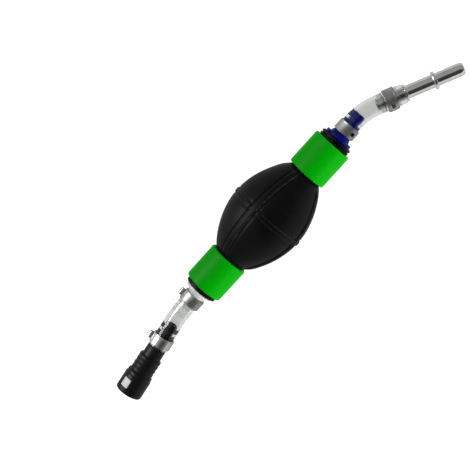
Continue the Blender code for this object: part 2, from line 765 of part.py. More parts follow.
def build_clamps():
    """Four clamps of one mesh, each turned so that its window lies at its own angle round the hose."""
    mesh = clamp_mesh()
    places = (
        ("outlet_cap_clamp", shifted(OUTLET_CAP_FRAME, HOSE_STOP + CAP_CLAMP_SETBACK), OUTLET_WINDOW_DEG),
        ("spigot_clamp", shifted(SPIGOT_FRAME, -SPIGOT_CLAMP_SETBACK), OUTLET_WINDOW_DEG),
        ("inlet_cap_clamp", shifted(INLET_CAP_FRAME, HOSE_STOP + CAP_CLAMP_SETBACK), INLET_WINDOW_DEG),
        ("coupler_clamp", shifted(COUPLER_FRAME, -COUPLER_CLAMP_SETBACK), INLET_WINDOW_DEG),
    )
    for name, frame, window_deg in places:
        turn = math.radians(window_deg)
        window = Vector((0.0, math.sin(turn), math.cos(turn)))
        add_mesh(name, mesh, frame_along(frame.translation, frame.col[2].xyz, window), STEEL_BAND)


# ---------------------------------------------------------------- spigot


def build_spigot():
    """The beaded pipe: its shoulder stops the hose at the frame's origin and its tip points along Z."""
    bead = PIPE_LENGTH - BEAD_FROM_TIP
    half = BEAD_WIDTH / 2
    outer = [
        (PIPE_TIP_R, PIPE_LENGTH),
        (PIPE_R, PIPE_LENGTH - PIPE_CHAMFER),
        (PIPE_R, bead + half),
        (BEAD_R - half / 2, bead + half),
        (BEAD_R, bead + half / 2),
        (BEAD_R, bead - half / 2),
        (BEAD_R - half / 2, bead - half),
        (PIPE_R, bead - half),
        (PIPE_R, FIT_GAP + SHOULDER_WIDTH),
        (SHOULDER_R, FIT_GAP + SHOULDER_WIDTH),
        (SHOULDER_R, FIT_GAP),
    ]
    barb = barb_points(-PIPE_BARB_LENGTH, FIT_GAP, PIPE_BARB_TEETH)[::-1]
    inner = [(PIPE_BORE, -PIPE_BARB_LENGTH), (PIPE_BORE, PIPE_LENGTH)]
    add_turned("outlet_spigot", outer + barb + inner, SPIGOT_FRAME, POLISHED_STEEL)


# ---------------------------------------------------------------- quick coupler


def coupler_levels():
    """Heights along the coupler, from the hose end at 0 to the mouth, worked out from the mouth down."""
    levels = {"mouth": COUPLER_LENGTH}
    levels["nose"] = COUPLER_LENGTH - NOSE_LENGTH
    levels["chamber_top"] = levels["nose"] - FIT_GAP
    levels["latch_top"] = levels["chamber_top"] - WINDOW_GAP
    levels["latch_bottom"] = levels["latch_top"] - LATCH_THICK
    levels["chamber_bottom"] = levels["latch_bottom"] - WINDOW_GAP
    levels["pocket_top"] = levels["chamber_bottom"] - BEAD_WIDTH - FIT_GAP
    levels["bush"] = levels["pocket_top"] - FIT_GAP - BUSH_LENGTH
    levels["outer_ring"] = levels["bush"] - FIT_GAP - RING_SECTION_R
    levels["spacer"] = levels["outer_ring"] - RING_SECTION_R - FIT_GAP - SPACER_LENGTH
    levels["inner_ring"] = levels["spacer"] - FIT_GAP - RING_SECTION_R
    levels["pocket_bottom"] = levels["inner_ring"] - RING_SECTION_R - FIT_GAP
    bead_to_tip = BEAD_FROM_TIP - BEAD_WIDTH / 2
    levels["stop"] = levels["chamber_bottom"] - BEAD_WIDTH - bead_to_tip - FIT_GAP
    levels["collar"] = COUPLER_LENGTH - COLLAR_LENGTH
    levels["ribs"] = levels["collar"] - RIB_SECTION
    return levels


def rib_points(top, bottom):
    """Outer points of the ribbed stretch, from top to bottom: round-shouldered ridges and narrow grooves."""
    pitch = (top - bottom) / RIB_COUNT
    groove = RIB_R - RIB_DEPTH
    points = []
    for i in range(RIB_COUNT):
        high = top - i * pitch
        points += [
            (groove, high - pitch * 0.1),
            (RIB_R, high - pitch * 0.3),
            (RIB_R, high - pitch * 0.8),
            (groove, high - pitch),
        ]
    return points


def build_coupler():
    """The female coupler, mouth up: body with its barb, and the nose ring that closes the latch chamber."""
    at = coupler_levels()
    step_top = at["collar"] + COLLAR_STEP_LENGTH
    outer = [
        (COLLAR_R, at["chamber_top"]),
        (COLLAR_R, step_top),
        (COLLAR_R - COLLAR_STEP, step_top - COLLAR_STEP),
        (COLLAR_R - COLLAR_STEP, at["collar"] + COLLAR_STEP),
        (COLLAR_R - 2 * COLLAR_STEP, at["collar"]),
    ]
    outer += rib_points(at["collar"], at["ribs"])
    outer += [(COUPLER_NECK_R, at["ribs"]), (COUPLER_NECK_R, FIT_GAP)]
    outer += barb_points(-PIPE_BARB_LENGTH, FIT_GAP, PIPE_BARB_TEETH)[::-1]
    inner = [
        (FLOW_BORE, -PIPE_BARB_LENGTH),
        (FLOW_BORE, at["stop"]),
        (SPIGOT_BORE, at["stop"]),
        (SPIGOT_BORE, at["pocket_bottom"]),
        (SEAL_BORE, at["pocket_bottom"]),
        (SEAL_BORE, at["pocket_top"]),
        (BEAD_BORE, at["pocket_top"]),
        (BEAD_BORE, at["chamber_top"]),
    ]
    body = turned_mesh_object("coupler_body", outer + inner, ROUND_SEGMENTS)
    place(body, COUPLER_FRAME, PUMP, BLACK_NYLON)

    depth = at["chamber_top"] - at["chamber_bottom"] + CUT_OVERRUN
    slide = BUTTON_FRAME @ Matrix.Translation((0, 0, at["chamber_bottom"] + depth / 2))
    chamber_r = LATCH_R + FIT_GAP
    shape = arc_points((LATCH_TRAVEL, 0), chamber_r, -90, 90, CHAMBER_ARC_STEPS)
    shape += arc_points((0, 0), chamber_r, 90, 270, CHAMBER_ARC_STEPS)
    chamber = helper("latch_chamber", plate_mesh("latch_chamber", [shape], depth), slide)
    boolean(body, chamber, "DIFFERENCE")

    window_high = LATCH_THICK + 2 * WINDOW_GAP
    middle = (at["latch_top"] + at["latch_bottom"]) / 2
    window_size = (COLLAR_R, BUTTON_WIDTH + 2 * WINDOW_GAP, window_high)
    window = box_mesh("button_window", window_size, (COLLAR_R, 0, middle))
    boolean(body, helper("button_window", window, BUTTON_FRAME), "DIFFERENCE")

    nose = [
        (COLLAR_R, at["mouth"]),
        (COLLAR_R, at["nose"]),
        (BEAD_BORE, at["nose"]),
        (BEAD_BORE, at["mouth"] - NOSE_MOUTH),
        (BEAD_BORE + NOSE_MOUTH, at["mouth"]),
    ]
    add_turned("coupler_nose", fillet(nose, {0: NOSE_EDGE}), COUPLER_FRAME, BLACK_NYLON)
    build_seals(at)
    build_latch(at)


def build_seals(at):
    """The guide bush, two O-rings and the spacer between them, in the order that they go in."""
    bush = [
        (SEAL_BORE - FIT_GAP, at["bush"] + BUSH_LENGTH),
        (SEAL_BORE - FIT_GAP, at["bush"]),
        (SPIGOT_BORE, at["bush"]),
        (SPIGOT_BORE, at["bush"] + BUSH_LENGTH - FIT_GAP),
        (SPIGOT_BORE + FIT_GAP, at["bush"] + BUSH_LENGTH),
    ]
    add_turned("coupler_bush", bush, COUPLER_FRAME, VALVE_ACETAL)
    spacer = [
        (SEAL_BORE - FIT_GAP, at["spacer"] + SPACER_LENGTH),
        (SEAL_BORE - FIT_GAP, at["spacer"]),
        (SPIGOT_BORE, at["spacer"]),
        (SPIGOT_BORE, at["spacer"] + SPACER_LENGTH),
    ]
    add_turned("coupler_spacer", spacer, COUPLER_FRAME, VALVE_ACETAL)
    for name, level in (("coupler_outer_o_ring", "outer_ring"), ("coupler_inner_o_ring", "inner_ring")):
        centre = (SPIGOT_BORE + RING_SECTION_R, at[level])
        section = arc_points(centre, RING_SECTION_R, 90, -270, 8)[:-1]
        add_turned(name, section, COUPLER_FRAME, SEAL_RUBBER)


def build_latch(at):
    """The sliding lock plate with its button, held out by a bowed leaf spring."""
    middle = (at["latch_top"] + at["latch_bottom"]) / 2
    slide = BUTTON_FRAME @ Matrix.Translation((LATCH_TRAVEL, 0, middle))
    rim = arc_points((0, 0), LATCH_R, 0, 360, ROUND_SEGMENTS)[:-1]
    hole = arc_points((0, 0), BEAD_BORE, 0, 360, ROUND_SEGMENTS)[:-1]
    plate = plate_mesh("coupler_latch", [rim, hole], LATCH_THICK)
    latch = add_mesh("coupler_latch", plate, slide, GREY_LATCH)
    inner = BEAD_BORE + LATCH_RING / 2
    outer = COLLAR_R + BUTTON_PROUD + BUTTON_ROOT
    button_size = (outer - inner, BUTTON_WIDTH, LATCH_THICK)
    button = box_mesh("latch_button", button_size, ((outer + inner) / 2, 0, 0))
    boolean(latch, helper("latch_button", button, slide), "UNION")
    reach = COLLAR_R + BUTTON_PROUD
    trim = cylinder_mesh("latch_trim", reach, LATCH_THICK * 2, 48)
    trim_at = BUTTON_FRAME @ Matrix.Translation((0, 0, middle))
    boolean(latch, helper("latch_trim", trim, trim_at), "INTERSECT")

    half_span = LATCH_R * LEAF_SPAN
    wall = -math.sqrt((LATCH_R + FIT_GAP) ** 2 - half_span**2)
    top = LATCH_TRAVEL - LATCH_R - FIT_GAP
    rise = top - (wall + FIT_GAP + LEAF_THICK)
    bow = (half_span**2 + rise**2) / (2 * rise)
    half_angle = math.degrees(math.asin(half_span / bow))
    centre = (top - bow, 0)
    outside = arc_points(centre, bow, -half_angle, half_angle, 8)
    inside = arc_points(centre, bow - LEAF_THICK, half_angle, -half_angle, 8)
    leaf = plate_mesh("latch_spring", [outside + inside], LEAF_WIDTH)
    leaf_at = BUTTON_FRAME @ Matrix.Translation((0, 0, middle))
    add_mesh("latch_spring", leaf, leaf_at, SPRING_STEEL)


# ---------------------------------------------------------------- assembly

clear_scene()
PUMP = new_collection("siphon_bulb_pump")
CUTTERS = new_collection("cutters")
BASE = bpy.data.objects.new("pump_base", None)
PUMP.objects.link(BASE)

UP = (0, 0, 1)
TOWARDS_BEND = (0, -1, 0)
PUMP_AXIS = frame_along((0, 0, 0), (1, 0, 0), UP)
OUTLET_CAP_FRAME = frame_along((OUTLET_FACE + FIT_GAP, 0, 0), (1, 0, 0), TOWARDS_BEND)
INLET_CAP_FRAME = frame_along((-INLET_FACE - FIT_GAP, 0, 0), (-1, 0, 0), TOWARDS_BEND)
OUTLET_ROUTE, SPIGOT_FRAME = hose_route(
    shifted(OUTLET_CAP_FRAME, HOSE_STOP + FIT_GAP),
    OUTLET_STRAIGHT_IN,
    OUTLET_BEND_R,
    OUTLET_BEND_DEG,
    OUTLET_STRAIGHT_OUT,
)
INLET_ROUTE, COUPLER_FRAME = hose_route(
    shifted(INLET_CAP_FRAME, HOSE_STOP + FIT_GAP),
    INLET_STRAIGHT_IN,
    INLET_BEND_R,
    INLET_BEND_DEG,
    INLET_STRAIGHT_OUT,
)
BUTTON_SIDE = (0, math.sin(math.radians(BUTTON_DEG)), math.cos(math.radians(BUTTON_DEG)))
BUTTON_FRAME = frame_along(COUPLER_FRAME.translation, COUPLER_FRAME.col[2].xyz, BUTTON_SIDE)

build_bulb()
build_sleeves()
build_caps()
build_valves()
build_hose("outlet_hose", OUTLET_ROUTE, CLEAR_HOSE)
build_hose("inlet_hose", INLET_ROUTE, CLEAR_HOSE)
build_clamps()
build_spigot()
build_coupler()


def stand_on_origin():
    """Moves the base empty so that the pump's box stands on the origin, centred over it."""
    bpy.context.view_layer.update()
    graph = bpy.context.evaluated_depsgraph_get()
    corners = []
    for obj in PUMP.objects:
        if obj.type != "MESH":
            continue
        evaluated = obj.evaluated_get(graph)
        mesh = evaluated.to_mesh()
        corners += [evaluated.matrix_world @ vertex.co for vertex in mesh.vertices]
        evaluated.to_mesh_clear()
    low = [min(corner[k] for corner in corners) for k in range(3)]
    high = [max(corner[k] for corner in corners) for k in range(3)]
    BASE.location = (-(low[0] + high[0]) / 2, -(low[1] + high[1]) / 2, -low[2])
    bpy.context.view_layer.update()


stand_on_origin()
gap = least_coil_gap(spring_points(), SPRING_WIRE_R, SPRING_POINTS_PER_TURN)
print(f"valve spring: least gap between turns {gap / MM:.2f} mm")
print(f"base moved by {[round(v / MM, 3) for v in BASE.location]} mm")
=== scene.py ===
# %% [markdown]
# # A hand siphon pump
# The real pump is a black rubber bulb between two check valves. A bright green sleeve grips each of its
# necks, short clear hoses lead away from both ends, and they finish in a quick coupler on one side and in a
# beaded metal pipe on the other. The CAD model is loaded first, as a fixed frame. Every finer surface made
# below lies where one of its solids is, so nothing has to be fitted by eye.

# %% Load the frame
import bmesh
import bpy
import numpy as np
from mathutils import Matrix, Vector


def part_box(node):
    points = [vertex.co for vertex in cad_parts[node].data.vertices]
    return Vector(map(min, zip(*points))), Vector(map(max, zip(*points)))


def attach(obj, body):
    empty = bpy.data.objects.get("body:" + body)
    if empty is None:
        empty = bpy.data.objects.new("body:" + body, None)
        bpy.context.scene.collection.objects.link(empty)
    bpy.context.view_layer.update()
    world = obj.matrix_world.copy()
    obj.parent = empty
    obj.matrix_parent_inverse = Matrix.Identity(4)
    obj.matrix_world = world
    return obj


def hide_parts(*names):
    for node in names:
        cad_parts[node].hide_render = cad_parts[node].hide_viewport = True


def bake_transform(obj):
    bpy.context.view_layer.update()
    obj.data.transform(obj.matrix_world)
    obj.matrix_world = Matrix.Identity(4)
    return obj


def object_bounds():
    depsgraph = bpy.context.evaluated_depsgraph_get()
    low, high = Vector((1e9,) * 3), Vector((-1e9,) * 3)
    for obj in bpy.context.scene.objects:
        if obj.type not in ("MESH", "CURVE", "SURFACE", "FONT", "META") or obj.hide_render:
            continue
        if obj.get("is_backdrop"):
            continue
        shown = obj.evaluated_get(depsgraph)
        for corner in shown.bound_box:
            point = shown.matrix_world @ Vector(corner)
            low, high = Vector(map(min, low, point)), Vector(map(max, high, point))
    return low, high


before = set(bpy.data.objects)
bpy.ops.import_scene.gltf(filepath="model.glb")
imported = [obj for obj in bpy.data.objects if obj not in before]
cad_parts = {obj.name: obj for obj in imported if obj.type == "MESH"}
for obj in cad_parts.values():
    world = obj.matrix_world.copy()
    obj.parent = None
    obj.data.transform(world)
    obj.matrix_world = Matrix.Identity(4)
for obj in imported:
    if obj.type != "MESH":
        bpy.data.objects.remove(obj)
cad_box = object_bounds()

print("nodes in the frame:", len(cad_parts))


def stand(name, data):
    """A new object of the given mesh, lamp or camera, linked to the scene."""
    made = bpy.data.objects.new(name, data)
    bpy.context.scene.collection.objects.link(made)
    return made


# %% [markdown]
# ## Where the bulb's axis runs
# The bulb, its sleeves and its caps lie on one straight axis, which runs along X. The boxes of the sleeves
# give its height and its middle, and every later place is counted from there.

# %% The bulb's axis
MM = 0.001
sleeve_boxes = np.array([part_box("inlet_sleeve"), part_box("outlet_sleeve")]).reshape(-1, 3)
centre = (sleeve_boxes.min(axis=0) + sleeve_boxes.max(axis=0)) / 2
print("middle of the bulb, mm:", np.round(centre / MM, 2))

# %% [markdown]
# ## A frame for each turned piece
# A turned piece is easiest to draw as a section, in its own coordinates: a radius and a height along its
# axis. A small frame of four rows, the origin and three unit directions, then carries it to its place.
# Sums of arrays do that for all points at once, without a loop.

# %% Frames
def unit(direction):
    """The direction at length one: each component over the root of the sum of squares."""
    return np.asarray(direction, float) / np.linalg.norm(direction)


def frame_along(origin, along, side=(0, 0, -1)):
    """Four rows: origin, across, up, along. Across is side less its share along; up = along x across."""
    along = unit(along)
    across = unit(np.asarray(side, float) - np.dot(side, along) * along)
    return np.array([origin, across, np.cross(along, across), along])


def placed(at, local):
    """World points of local ones: origin + x * across + y * up + z * along."""
    return at[0] + local @ at[1:]


def matrix_of(at):
    """The frame as Blender's 4 x 4 matrix: its directions are three columns and its origin is the fourth."""
    rows = np.eye(4)
    rows[:3, :3] = at[1:].T
    rows[:3, 3] = at[0]
    return Matrix(rows.tolist())


def shifted(at, distance):
    """The same frame moved by distance along its own axis."""
    moved = at.copy()
    moved[0] += distance * at[3]
    return moved


# %% [markdown]
# ## From a grid of points to a piece
# Most new pieces start as a grid: one parameter runs along the piece and the other round it. The grid closes
# on itself in both directions, like the skin of a ring, so it has no seam and no open end. The sum of the
# small pyramids between the quads and the middle gives the volume, and a negative one says that the faces
# look inwards, so they are turned over.

# %% Grid pieces
def signed_volume(points, quads):
    """A sixth of the sum of p0 . (p1 x p2) over all triangles, counted from the mean point."""
    p = points[quads] - points.mean(axis=0)
    first = np.einsum("ij,ij->i", p[:, 0], np.cross(p[:, 1], p[:, 2]))
    second = np.einsum("ij,ij->i", p[:, 0], np.cross(p[:, 2], p[:, 3]))
    return (first + second).sum() / 6


def grid_piece(name, points, pale_rims=None):
    """Quads (i, j), (i+1, j), (i+1, j+1), (i, j+1) over points[i, j], counted round in both directions.

    The UV map gives the share of the way along and round. The edge attribute is 1 on an edge, 0 on a face;
    materials paint those edges paler, partly as rubbed wear and partly as a painted highlight."""
    rows, columns = points.shape[:2]
    i, j = np.meshgrid(np.arange(rows), np.arange(columns), indexing="ij")
    down, right = (i + 1) % rows, (j + 1) % columns
    here, below = i * columns, down * columns
    quads = np.stack([here + j, below + j, below + right, here + right], axis=-1)
    u = np.stack([i, i + 1, i + 1, i], axis=-1) / rows
    v = np.stack([j, j, j + 1, j + 1], axis=-1) / columns
    quads, u, v = quads.reshape(-1, 4), u.reshape(-1, 4), v.reshape(-1, 4)
    flat = points.reshape(-1, 3)
    if signed_volume(flat, quads) < 0:
        quads, u, v = quads[:, ::-1], u[:, ::-1], v[:, ::-1]
    mesh = bpy.data.meshes.new(name)
    mesh.vertices.add(len(flat))
    mesh.loops.add(quads.size)
    mesh.polygons.add(len(quads))
    mesh.vertices.foreach_set("co", flat.astype(np.float32).ravel())
    mesh.loops.foreach_set("vertex_index", quads.astype(np.int32).ravel())
    mesh.polygons.foreach_set("loop_start", np.arange(0, quads.size, 4, dtype=np.int32))
    mesh.polygons.foreach_set("use_smooth", np.ones(len(quads), dtype=bool))
    mesh.update(calc_edges=True)
    uv = mesh.uv_layers.new(name="UVMap")
    uv.data.foreach_set("uv", np.stack([u, v], axis=-1).astype(np.float32).ravel())
    rim_share = np.zeros(rows) if pale_rims is None else pale_rims
    rim_share = np.broadcast_to(rim_share[:, None] if rim_share.ndim == 1 else rim_share, (rows, columns))
    mark = mesh.attributes.new("pale_rims", "FLOAT", "POINT")
    mark.data.foreach_set("value", rim_share.astype(np.float32).ravel())
    print(f"{name}: {rows} x {columns} points")
    return stand(name, mesh)


# %% [markdown]
# ## Turned pieces with soft edges
# Moulded plastic and turned metal never have a knife edge. Each corner of a section is therefore replaced
# by a short curve, whose points are a blend of three: a point before the corner, the corner itself and a
# point after it. The same sum also marks the rounded edge, so that a material can lighten or polish it.

# %% Soft corners and turning
MOST_OF_EDGE = 0.45


def soft_corners(corners, reach, steps):
    """For t from 0 to 1: (1-t)^2 * before + 2t(1-t) * corner + t^2 * after, reach away from each corner.

    Returns the points, in order, and a mark that is 4t(1-t) on a true corner."""
    corners = np.asarray(corners, float)
    reach = np.broadcast_to(reach, len(corners))
    back, ahead = np.roll(corners, 1, axis=0) - corners, np.roll(corners, -1, axis=0) - corners
    back_length, ahead_length = np.linalg.norm(back, axis=1), np.linalg.norm(ahead, axis=1)
    size = np.minimum(reach, MOST_OF_EDGE * np.minimum(back_length, ahead_length))[:, None]
    before = corners + back / back_length[:, None] * size
    after = corners + ahead / ahead_length[:, None] * size
    t = np.linspace(0, 1, steps)[None, :, None]
    points = (1 - t) ** 2 * before[:, None] + 2 * t * (1 - t) * corners[:, None] + t**2 * after[:, None]
    turn = 1 + np.einsum("ij,ij->i", back, ahead) / (back_length * ahead_length)
    mark = 4 * t[..., 0] * (1 - t[..., 0]) * np.clip(turn, 0, 1)[:, None]
    return points.reshape(-1, 2), mark.ravel()


def turned(name, corners, reach, steps, at, count):
    """The softened section (radius r, height h) round the axis: r cos t across, r sin t up, h along."""
    section, pale_rims = soft_corners(corners, reach, steps)
    t = np.linspace(0, 2 * np.pi, count, endpoint=False)
    r, h = section[:, :1], section[:, 1:]
    local = np.stack([r * np.cos(t), r * np.sin(t), h + 0 * t], axis=-1)
    return grid_piece(name, placed(at, local), pale_rims)


# %% [markdown]
# ## The squeeze bulb
# The bulb is one hollow rubber moulding. Its outline is a cosine bulge on the neck's radius, and the mould
# leaves four raised welts that run from neck to neck, each between two shallow grooves, and a flat band round
# the middle. The radius is one formula of two parameters, the place along the axis and the angle round it.
# The columns of points lie closer together at the welts. The necks end in thin rings beyond the sleeves.

# %% Sizes of the bulb
BULB_HALF = 40.0 * MM
BULB_R = 28.4 * MM
BULB_FULLNESS = 0.76
BULB_WALL = 3.4 * MM
NECK_R = 11.6 * MM
NECK_BORE = 9.0 * MM
WELT_WIDTH = 3.9 * MM
WELT_HEIGHT = 0.9 * MM
WELT_TURN = np.radians(-27.0)
WELT_SETBACK = 3.5 * MM
WELT_FADE = 0.8 * MM
GROOVE_DEPTH = 0.55 * MM
GROOVE_OFFSET = 1.1 * MM
GROOVE_WIDTH = 0.75 * MM
BAND_WIDTH = 3.3 * MM
BAND_HEIGHT = 0.6 * MM
BAND_GROOVE_DEPTH = 0.3 * MM
BAND_GROOVE_OFFSET = 0.9 * MM
BAND_GROOVE_WIDTH = 0.6 * MM
LIP_HEIGHT = 0.8 * MM
LIP_SHIFT = 0.15 * MM
BEFORE_LIPS = 0.5 * MM
OUTLET_LIP_INSET = 0.35 * MM
INLET_LIP_INSET = 0.25 * MM
FIT_GAP = 0.3 * MM
SLEEVE_LENGTH = 27.6 * MM
LIP_START = BULB_HALF + SLEEVE_LENGTH + FIT_GAP
OUTLET_LIP = 2.1 * MM
INLET_LIP = 3.0 * MM
OUTLET_FACE = LIP_START + 2 * OUTLET_LIP
INLET_FACE = LIP_START + INLET_LIP
SOFT_EDGE = 0.13 * MM
COLUMN_SHIFT = 0.17
pump_axis = frame_along(centre, (1, 0, 0))


# %% The bulb's radius
def plateau(distance, half_width, edge):
    """1 inside half_width, 0 outside, smooth between: 1 / (1 + e^((|distance| - half_width) / edge))."""
    return 1 / (1 + np.exp(np.clip((np.abs(distance) - half_width) / edge, -50, 50)))


def bulge(x):
    """Neck radius + swell * cos(share of the way to the sleeve * pi / 2) to the power of the fullness."""
    share = np.clip(np.abs(x) / BULB_HALF, 0, 1)
    return NECK_R + (BULB_R - NECK_R) * np.cos(share * np.pi / 2).clip(0) ** BULB_FULLNESS


def lips(x):
    """Rings on the necks: one plateau for each ring, summed."""
    first = LIP_START + OUTLET_LIP / 2 - LIP_SHIFT
    inlet = -(LIP_START + INLET_LIP / 2)
    outlet_half = OUTLET_LIP / 2 - OUTLET_LIP_INSET
    inlet_half = INLET_LIP / 2 - INLET_LIP_INSET
    rings = ((first, outlet_half), (first + OUTLET_LIP, outlet_half), (inlet, inlet_half))
    return LIP_HEIGHT * sum(plateau(x - middle, half, SOFT_EDGE / 2) for middle, half in rings)


def from_welt(angle):
    """The angle from the nearest of four welts, a quarter turn apart: between -45 and 45 degrees."""
    return (angle - WELT_TURN + np.pi / 4) % (np.pi / 2) - np.pi / 4


def bulb_skin_radius(x, angle):
    """Bulge + band + lips + four welts, each with a groove on either side: a plateau and two bell curves of
    the distance round from the welt's middle. The band and its grooves stop where a welt runs."""
    radius = bulge(x)
    across = from_welt(angle) * radius
    on_welt = plateau(across, WELT_WIDTH / 2, SOFT_EDGE)
    run = plateau(x, BULB_HALF - WELT_SETBACK, WELT_FADE)
    beside = np.abs(across) - WELT_WIDTH / 2 - GROOVE_OFFSET
    groove = GROOVE_DEPTH * np.exp(-((beside / GROOVE_WIDTH) ** 2))
    band = BAND_HEIGHT * plateau(x, BAND_WIDTH / 2, SOFT_EDGE)
    beside_band = np.abs(x) - BAND_WIDTH / 2 - BAND_GROOVE_OFFSET
    band_groove = BAND_GROOVE_DEPTH * np.exp(-((beside_band / BAND_GROOVE_WIDTH) ** 2))
    return radius + lips(x) + run * (WELT_HEIGHT * on_welt - groove) + (band - band_groove) * (1 - on_welt)


# %% Stations and the closed skin
bow = BULB_HALF * np.sin(np.linspace(-np.pi / 2, np.pi / 2, 131))
band_stations = np.linspace(-BAND_WIDTH, BAND_WIDTH, 41)
outlet_stations = np.linspace(LIP_START - BEFORE_LIPS, OUTLET_FACE, 41)
inlet_stations = -np.linspace(LIP_START - BEFORE_LIPS, INLET_FACE, 31)
neck_stations = np.linspace(BULB_HALF, LIP_START, 7)[1:-1]
outer_x = np.unique(np.round(np.concatenate([
    bow, band_stations, outlet_stations, inlet_stations, neck_stations, -neck_stations]), 7))
inner_bow = BULB_HALF * np.sin(np.linspace(np.pi / 2, -np.pi / 2, 41))
inner_x = np.concatenate([[OUTLET_FACE], inner_bow, [-INLET_FACE]])
even = np.linspace(0, 2 * np.pi, 320, endpoint=False)
around = even - COLUMN_SHIFT * np.sin(4 * even) + WELT_TURN
outer_r = bulb_skin_radius(outer_x[:, None], around[None, :])
inner_r = np.maximum(bulge(inner_x) - BULB_WALL, NECK_BORE)[:, None] + 0 * around
skin_r = np.concatenate([outer_r, inner_r])
skin_x = np.concatenate([outer_x, inner_x])[:, None]
skin = np.stack([skin_r * np.cos(around), skin_r * np.sin(around), skin_x + 0 * around], axis=-1)
on_welt = plateau(from_welt(around) * skin_r, WELT_WIDTH / 2, SOFT_EDGE)
on_band = plateau(skin_x, BAND_WIDTH / 2, SOFT_EDGE)
# Welt and band edges are marked here; the rubber paints them paler, partly as rubbed wear and partly as a
# painted highlight.
welt_mark = 4 * on_welt * (1 - on_welt) + 4 * on_band * (1 - on_band) * (1 - on_welt)
bulb = grid_piece("bulb_skin", placed(pump_axis, skin), welt_mark)
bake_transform(bulb)
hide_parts("squeeze_bulb")

# %% [markdown]
# ## The green sleeves
# Each neck is gripped by a bright green plastic sleeve, a plain tube with well rounded rims. A section of
# four corners is enough. The outer corners take a large radius and the inner ones a small one.

# %% Sleeves
SLEEVE_WALL = 2.85 * MM
sleeve_bore = NECK_R + FIT_GAP
sleeve_outer = sleeve_bore + SLEEVE_WALL
sleeve_end = SLEEVE_LENGTH / 2
sleeve_corners = [(sleeve_outer, sleeve_end), (sleeve_outer, -sleeve_end),
                  (sleeve_bore, -sleeve_end), (sleeve_bore, sleeve_end)]
OUTER_ROUND = 1.7 * MM
INNER_ROUND = 0.4 * MM
sleeve_reach = [OUTER_ROUND, OUTER_ROUND, INNER_ROUND, INNER_ROUND]
sleeves = {}
for side, sign in (("inlet", -1), ("outlet", 1)):
    at = frame_along(centre + np.array([sign * (BULB_HALF + sleeve_end), 0, 0]), (sign, 0, 0))
    sleeves[side] = turned(f"{side}_sleeve_skin", sleeve_corners, sleeve_reach, 8, at, 128)
    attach(sleeves[side], "pump")
    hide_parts(f"{side}_sleeve")

# %% [markdown]
# ## The end caps
# A nylon cap closes each end. Its plug holds a check valve inside the neck, its flange lies against the
# rubber rings, and its barb grips the hose. The whole section is one closed line. The barb's teeth rise
# gently and fall steeply, so that a hose slides on but not off.

# %% Hose and barb sizes
HOSE_R = 6.85 * MM
HOSE_BORE = 4.7 * MM
CONTACT = 0.03 * MM
BARB_CREST = HOSE_BORE + 0.32 * MM
BARB_ROOT = BARB_CREST - 0.55 * MM
BARB_PITCH = 5.6 * MM
BARB_LAND = 0.5 * MM
BARB_TIP_DROP = 0.45 * MM
BARB_ROUND = 0.7 * MM
BARB_BACK = 1.6 * BARB_LAND
CAP_TEETH, FAR_TEETH = 2, 3
CAP_BARB_LENGTH = 17.8 * MM
FAR_BARB_LENGTH = 20.7 * MM
FLOW_BORE = 2.6 * MM


def crest_distances(teeth):
    """How far behind the tip each tooth's crest begins: i + 1 pitches less two lands, for tooth i."""
    return BARB_PITCH * (np.arange(teeth) + 1) - 2 * BARB_LAND


def barb_line(tip, root, teeth):
    """Outer line of a barb from its tip, whose edge is cut off, to its root. Each tooth rises to its crest,
    runs level for one land and falls to the root radius."""
    sign = np.sign(tip - root)
    i = np.arange(teeth)
    crest = tip - sign * crest_distances(teeth)
    foot = crest + sign * (BARB_PITCH - 2 * BARB_LAND)
    tip_r = BARB_CREST - BARB_TIP_DROP
    foot = np.where(i == 0, tip - sign * BARB_ROUND, foot)
    foot_r = np.where(i == 0, tip_r, BARB_ROOT)
    heights = np.stack([foot, crest, crest - sign * BARB_LAND, crest - sign * BARB_BACK], 1)
    radii = np.stack([foot_r, 0 * i + BARB_CREST, 0 * i + BARB_CREST, 0 * i + BARB_ROOT], 1)
    line = np.stack([radii.ravel(), heights.ravel()], axis=1)
    return np.concatenate([[[tip_r - BARB_ROUND, tip]], line, [[BARB_ROOT, root]]])


# %% Caps
FLANGE_R = 10.5 * MM
FLANGE_LENGTH = 1.9 * MM
CONE_R = 8.0 * MM
CONE_LENGTH = 2.9 * MM
PLUG_LENGTH = 19.0 * MM
PLUG_R = NECK_BORE - FIT_GAP
POCKET_R = 6.0 * MM + FIT_GAP
POCKET_DEPTH = 14.3 * MM
POCKET_FLOOR = POCKET_DEPTH - PLUG_LENGTH
CAP_ROUND = 0.35 * MM
HOSE_STOP = FLANGE_LENGTH + CONE_LENGTH
CAP_TIP = HOSE_STOP + FIT_GAP + CAP_BARB_LENGTH
cap_corners = np.concatenate([barb_line(CAP_TIP, HOSE_STOP, CAP_TEETH), [
    (HOSE_R, HOSE_STOP),
    (CONE_R, FLANGE_LENGTH),
    (FLANGE_R, FLANGE_LENGTH),
    (FLANGE_R, 0),
    (PLUG_R, 0),
    (PLUG_R, -PLUG_LENGTH),
    (POCKET_R, -PLUG_LENGTH),
    (POCKET_R, POCKET_FLOOR),
    (FLOW_BORE, POCKET_FLOOR),
    (FLOW_BORE, CAP_TIP),
]])
caps, cap_at = {}, {}
for side, x, finish in (("outlet", OUTLET_FACE + FIT_GAP, "blue_nylon"),
                        ("inlet", -INLET_FACE - FIT_GAP, "white_nylon")):
    cap_at[side] = frame_along(centre + np.array([x, 0, 0]), (np.sign(x), 0, 0))
    caps[side] = turned(f"{side}_cap_skin", cap_corners, CAP_ROUND, 4, cap_at[side], 96)
    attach(caps[side], "pump")
    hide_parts(f"{side}_cap")

# %% [markdown]
# ## The clear hoses
# Each hose is a short thick-walled tube: straight over the cap's barb, one even bend, and straight again
# over the next barb. A ring-shaped section is carried along that route. The bore clings to the barbs inside
# it, and the outside swells a little over each crest, which is what the eye reads as rubbery.

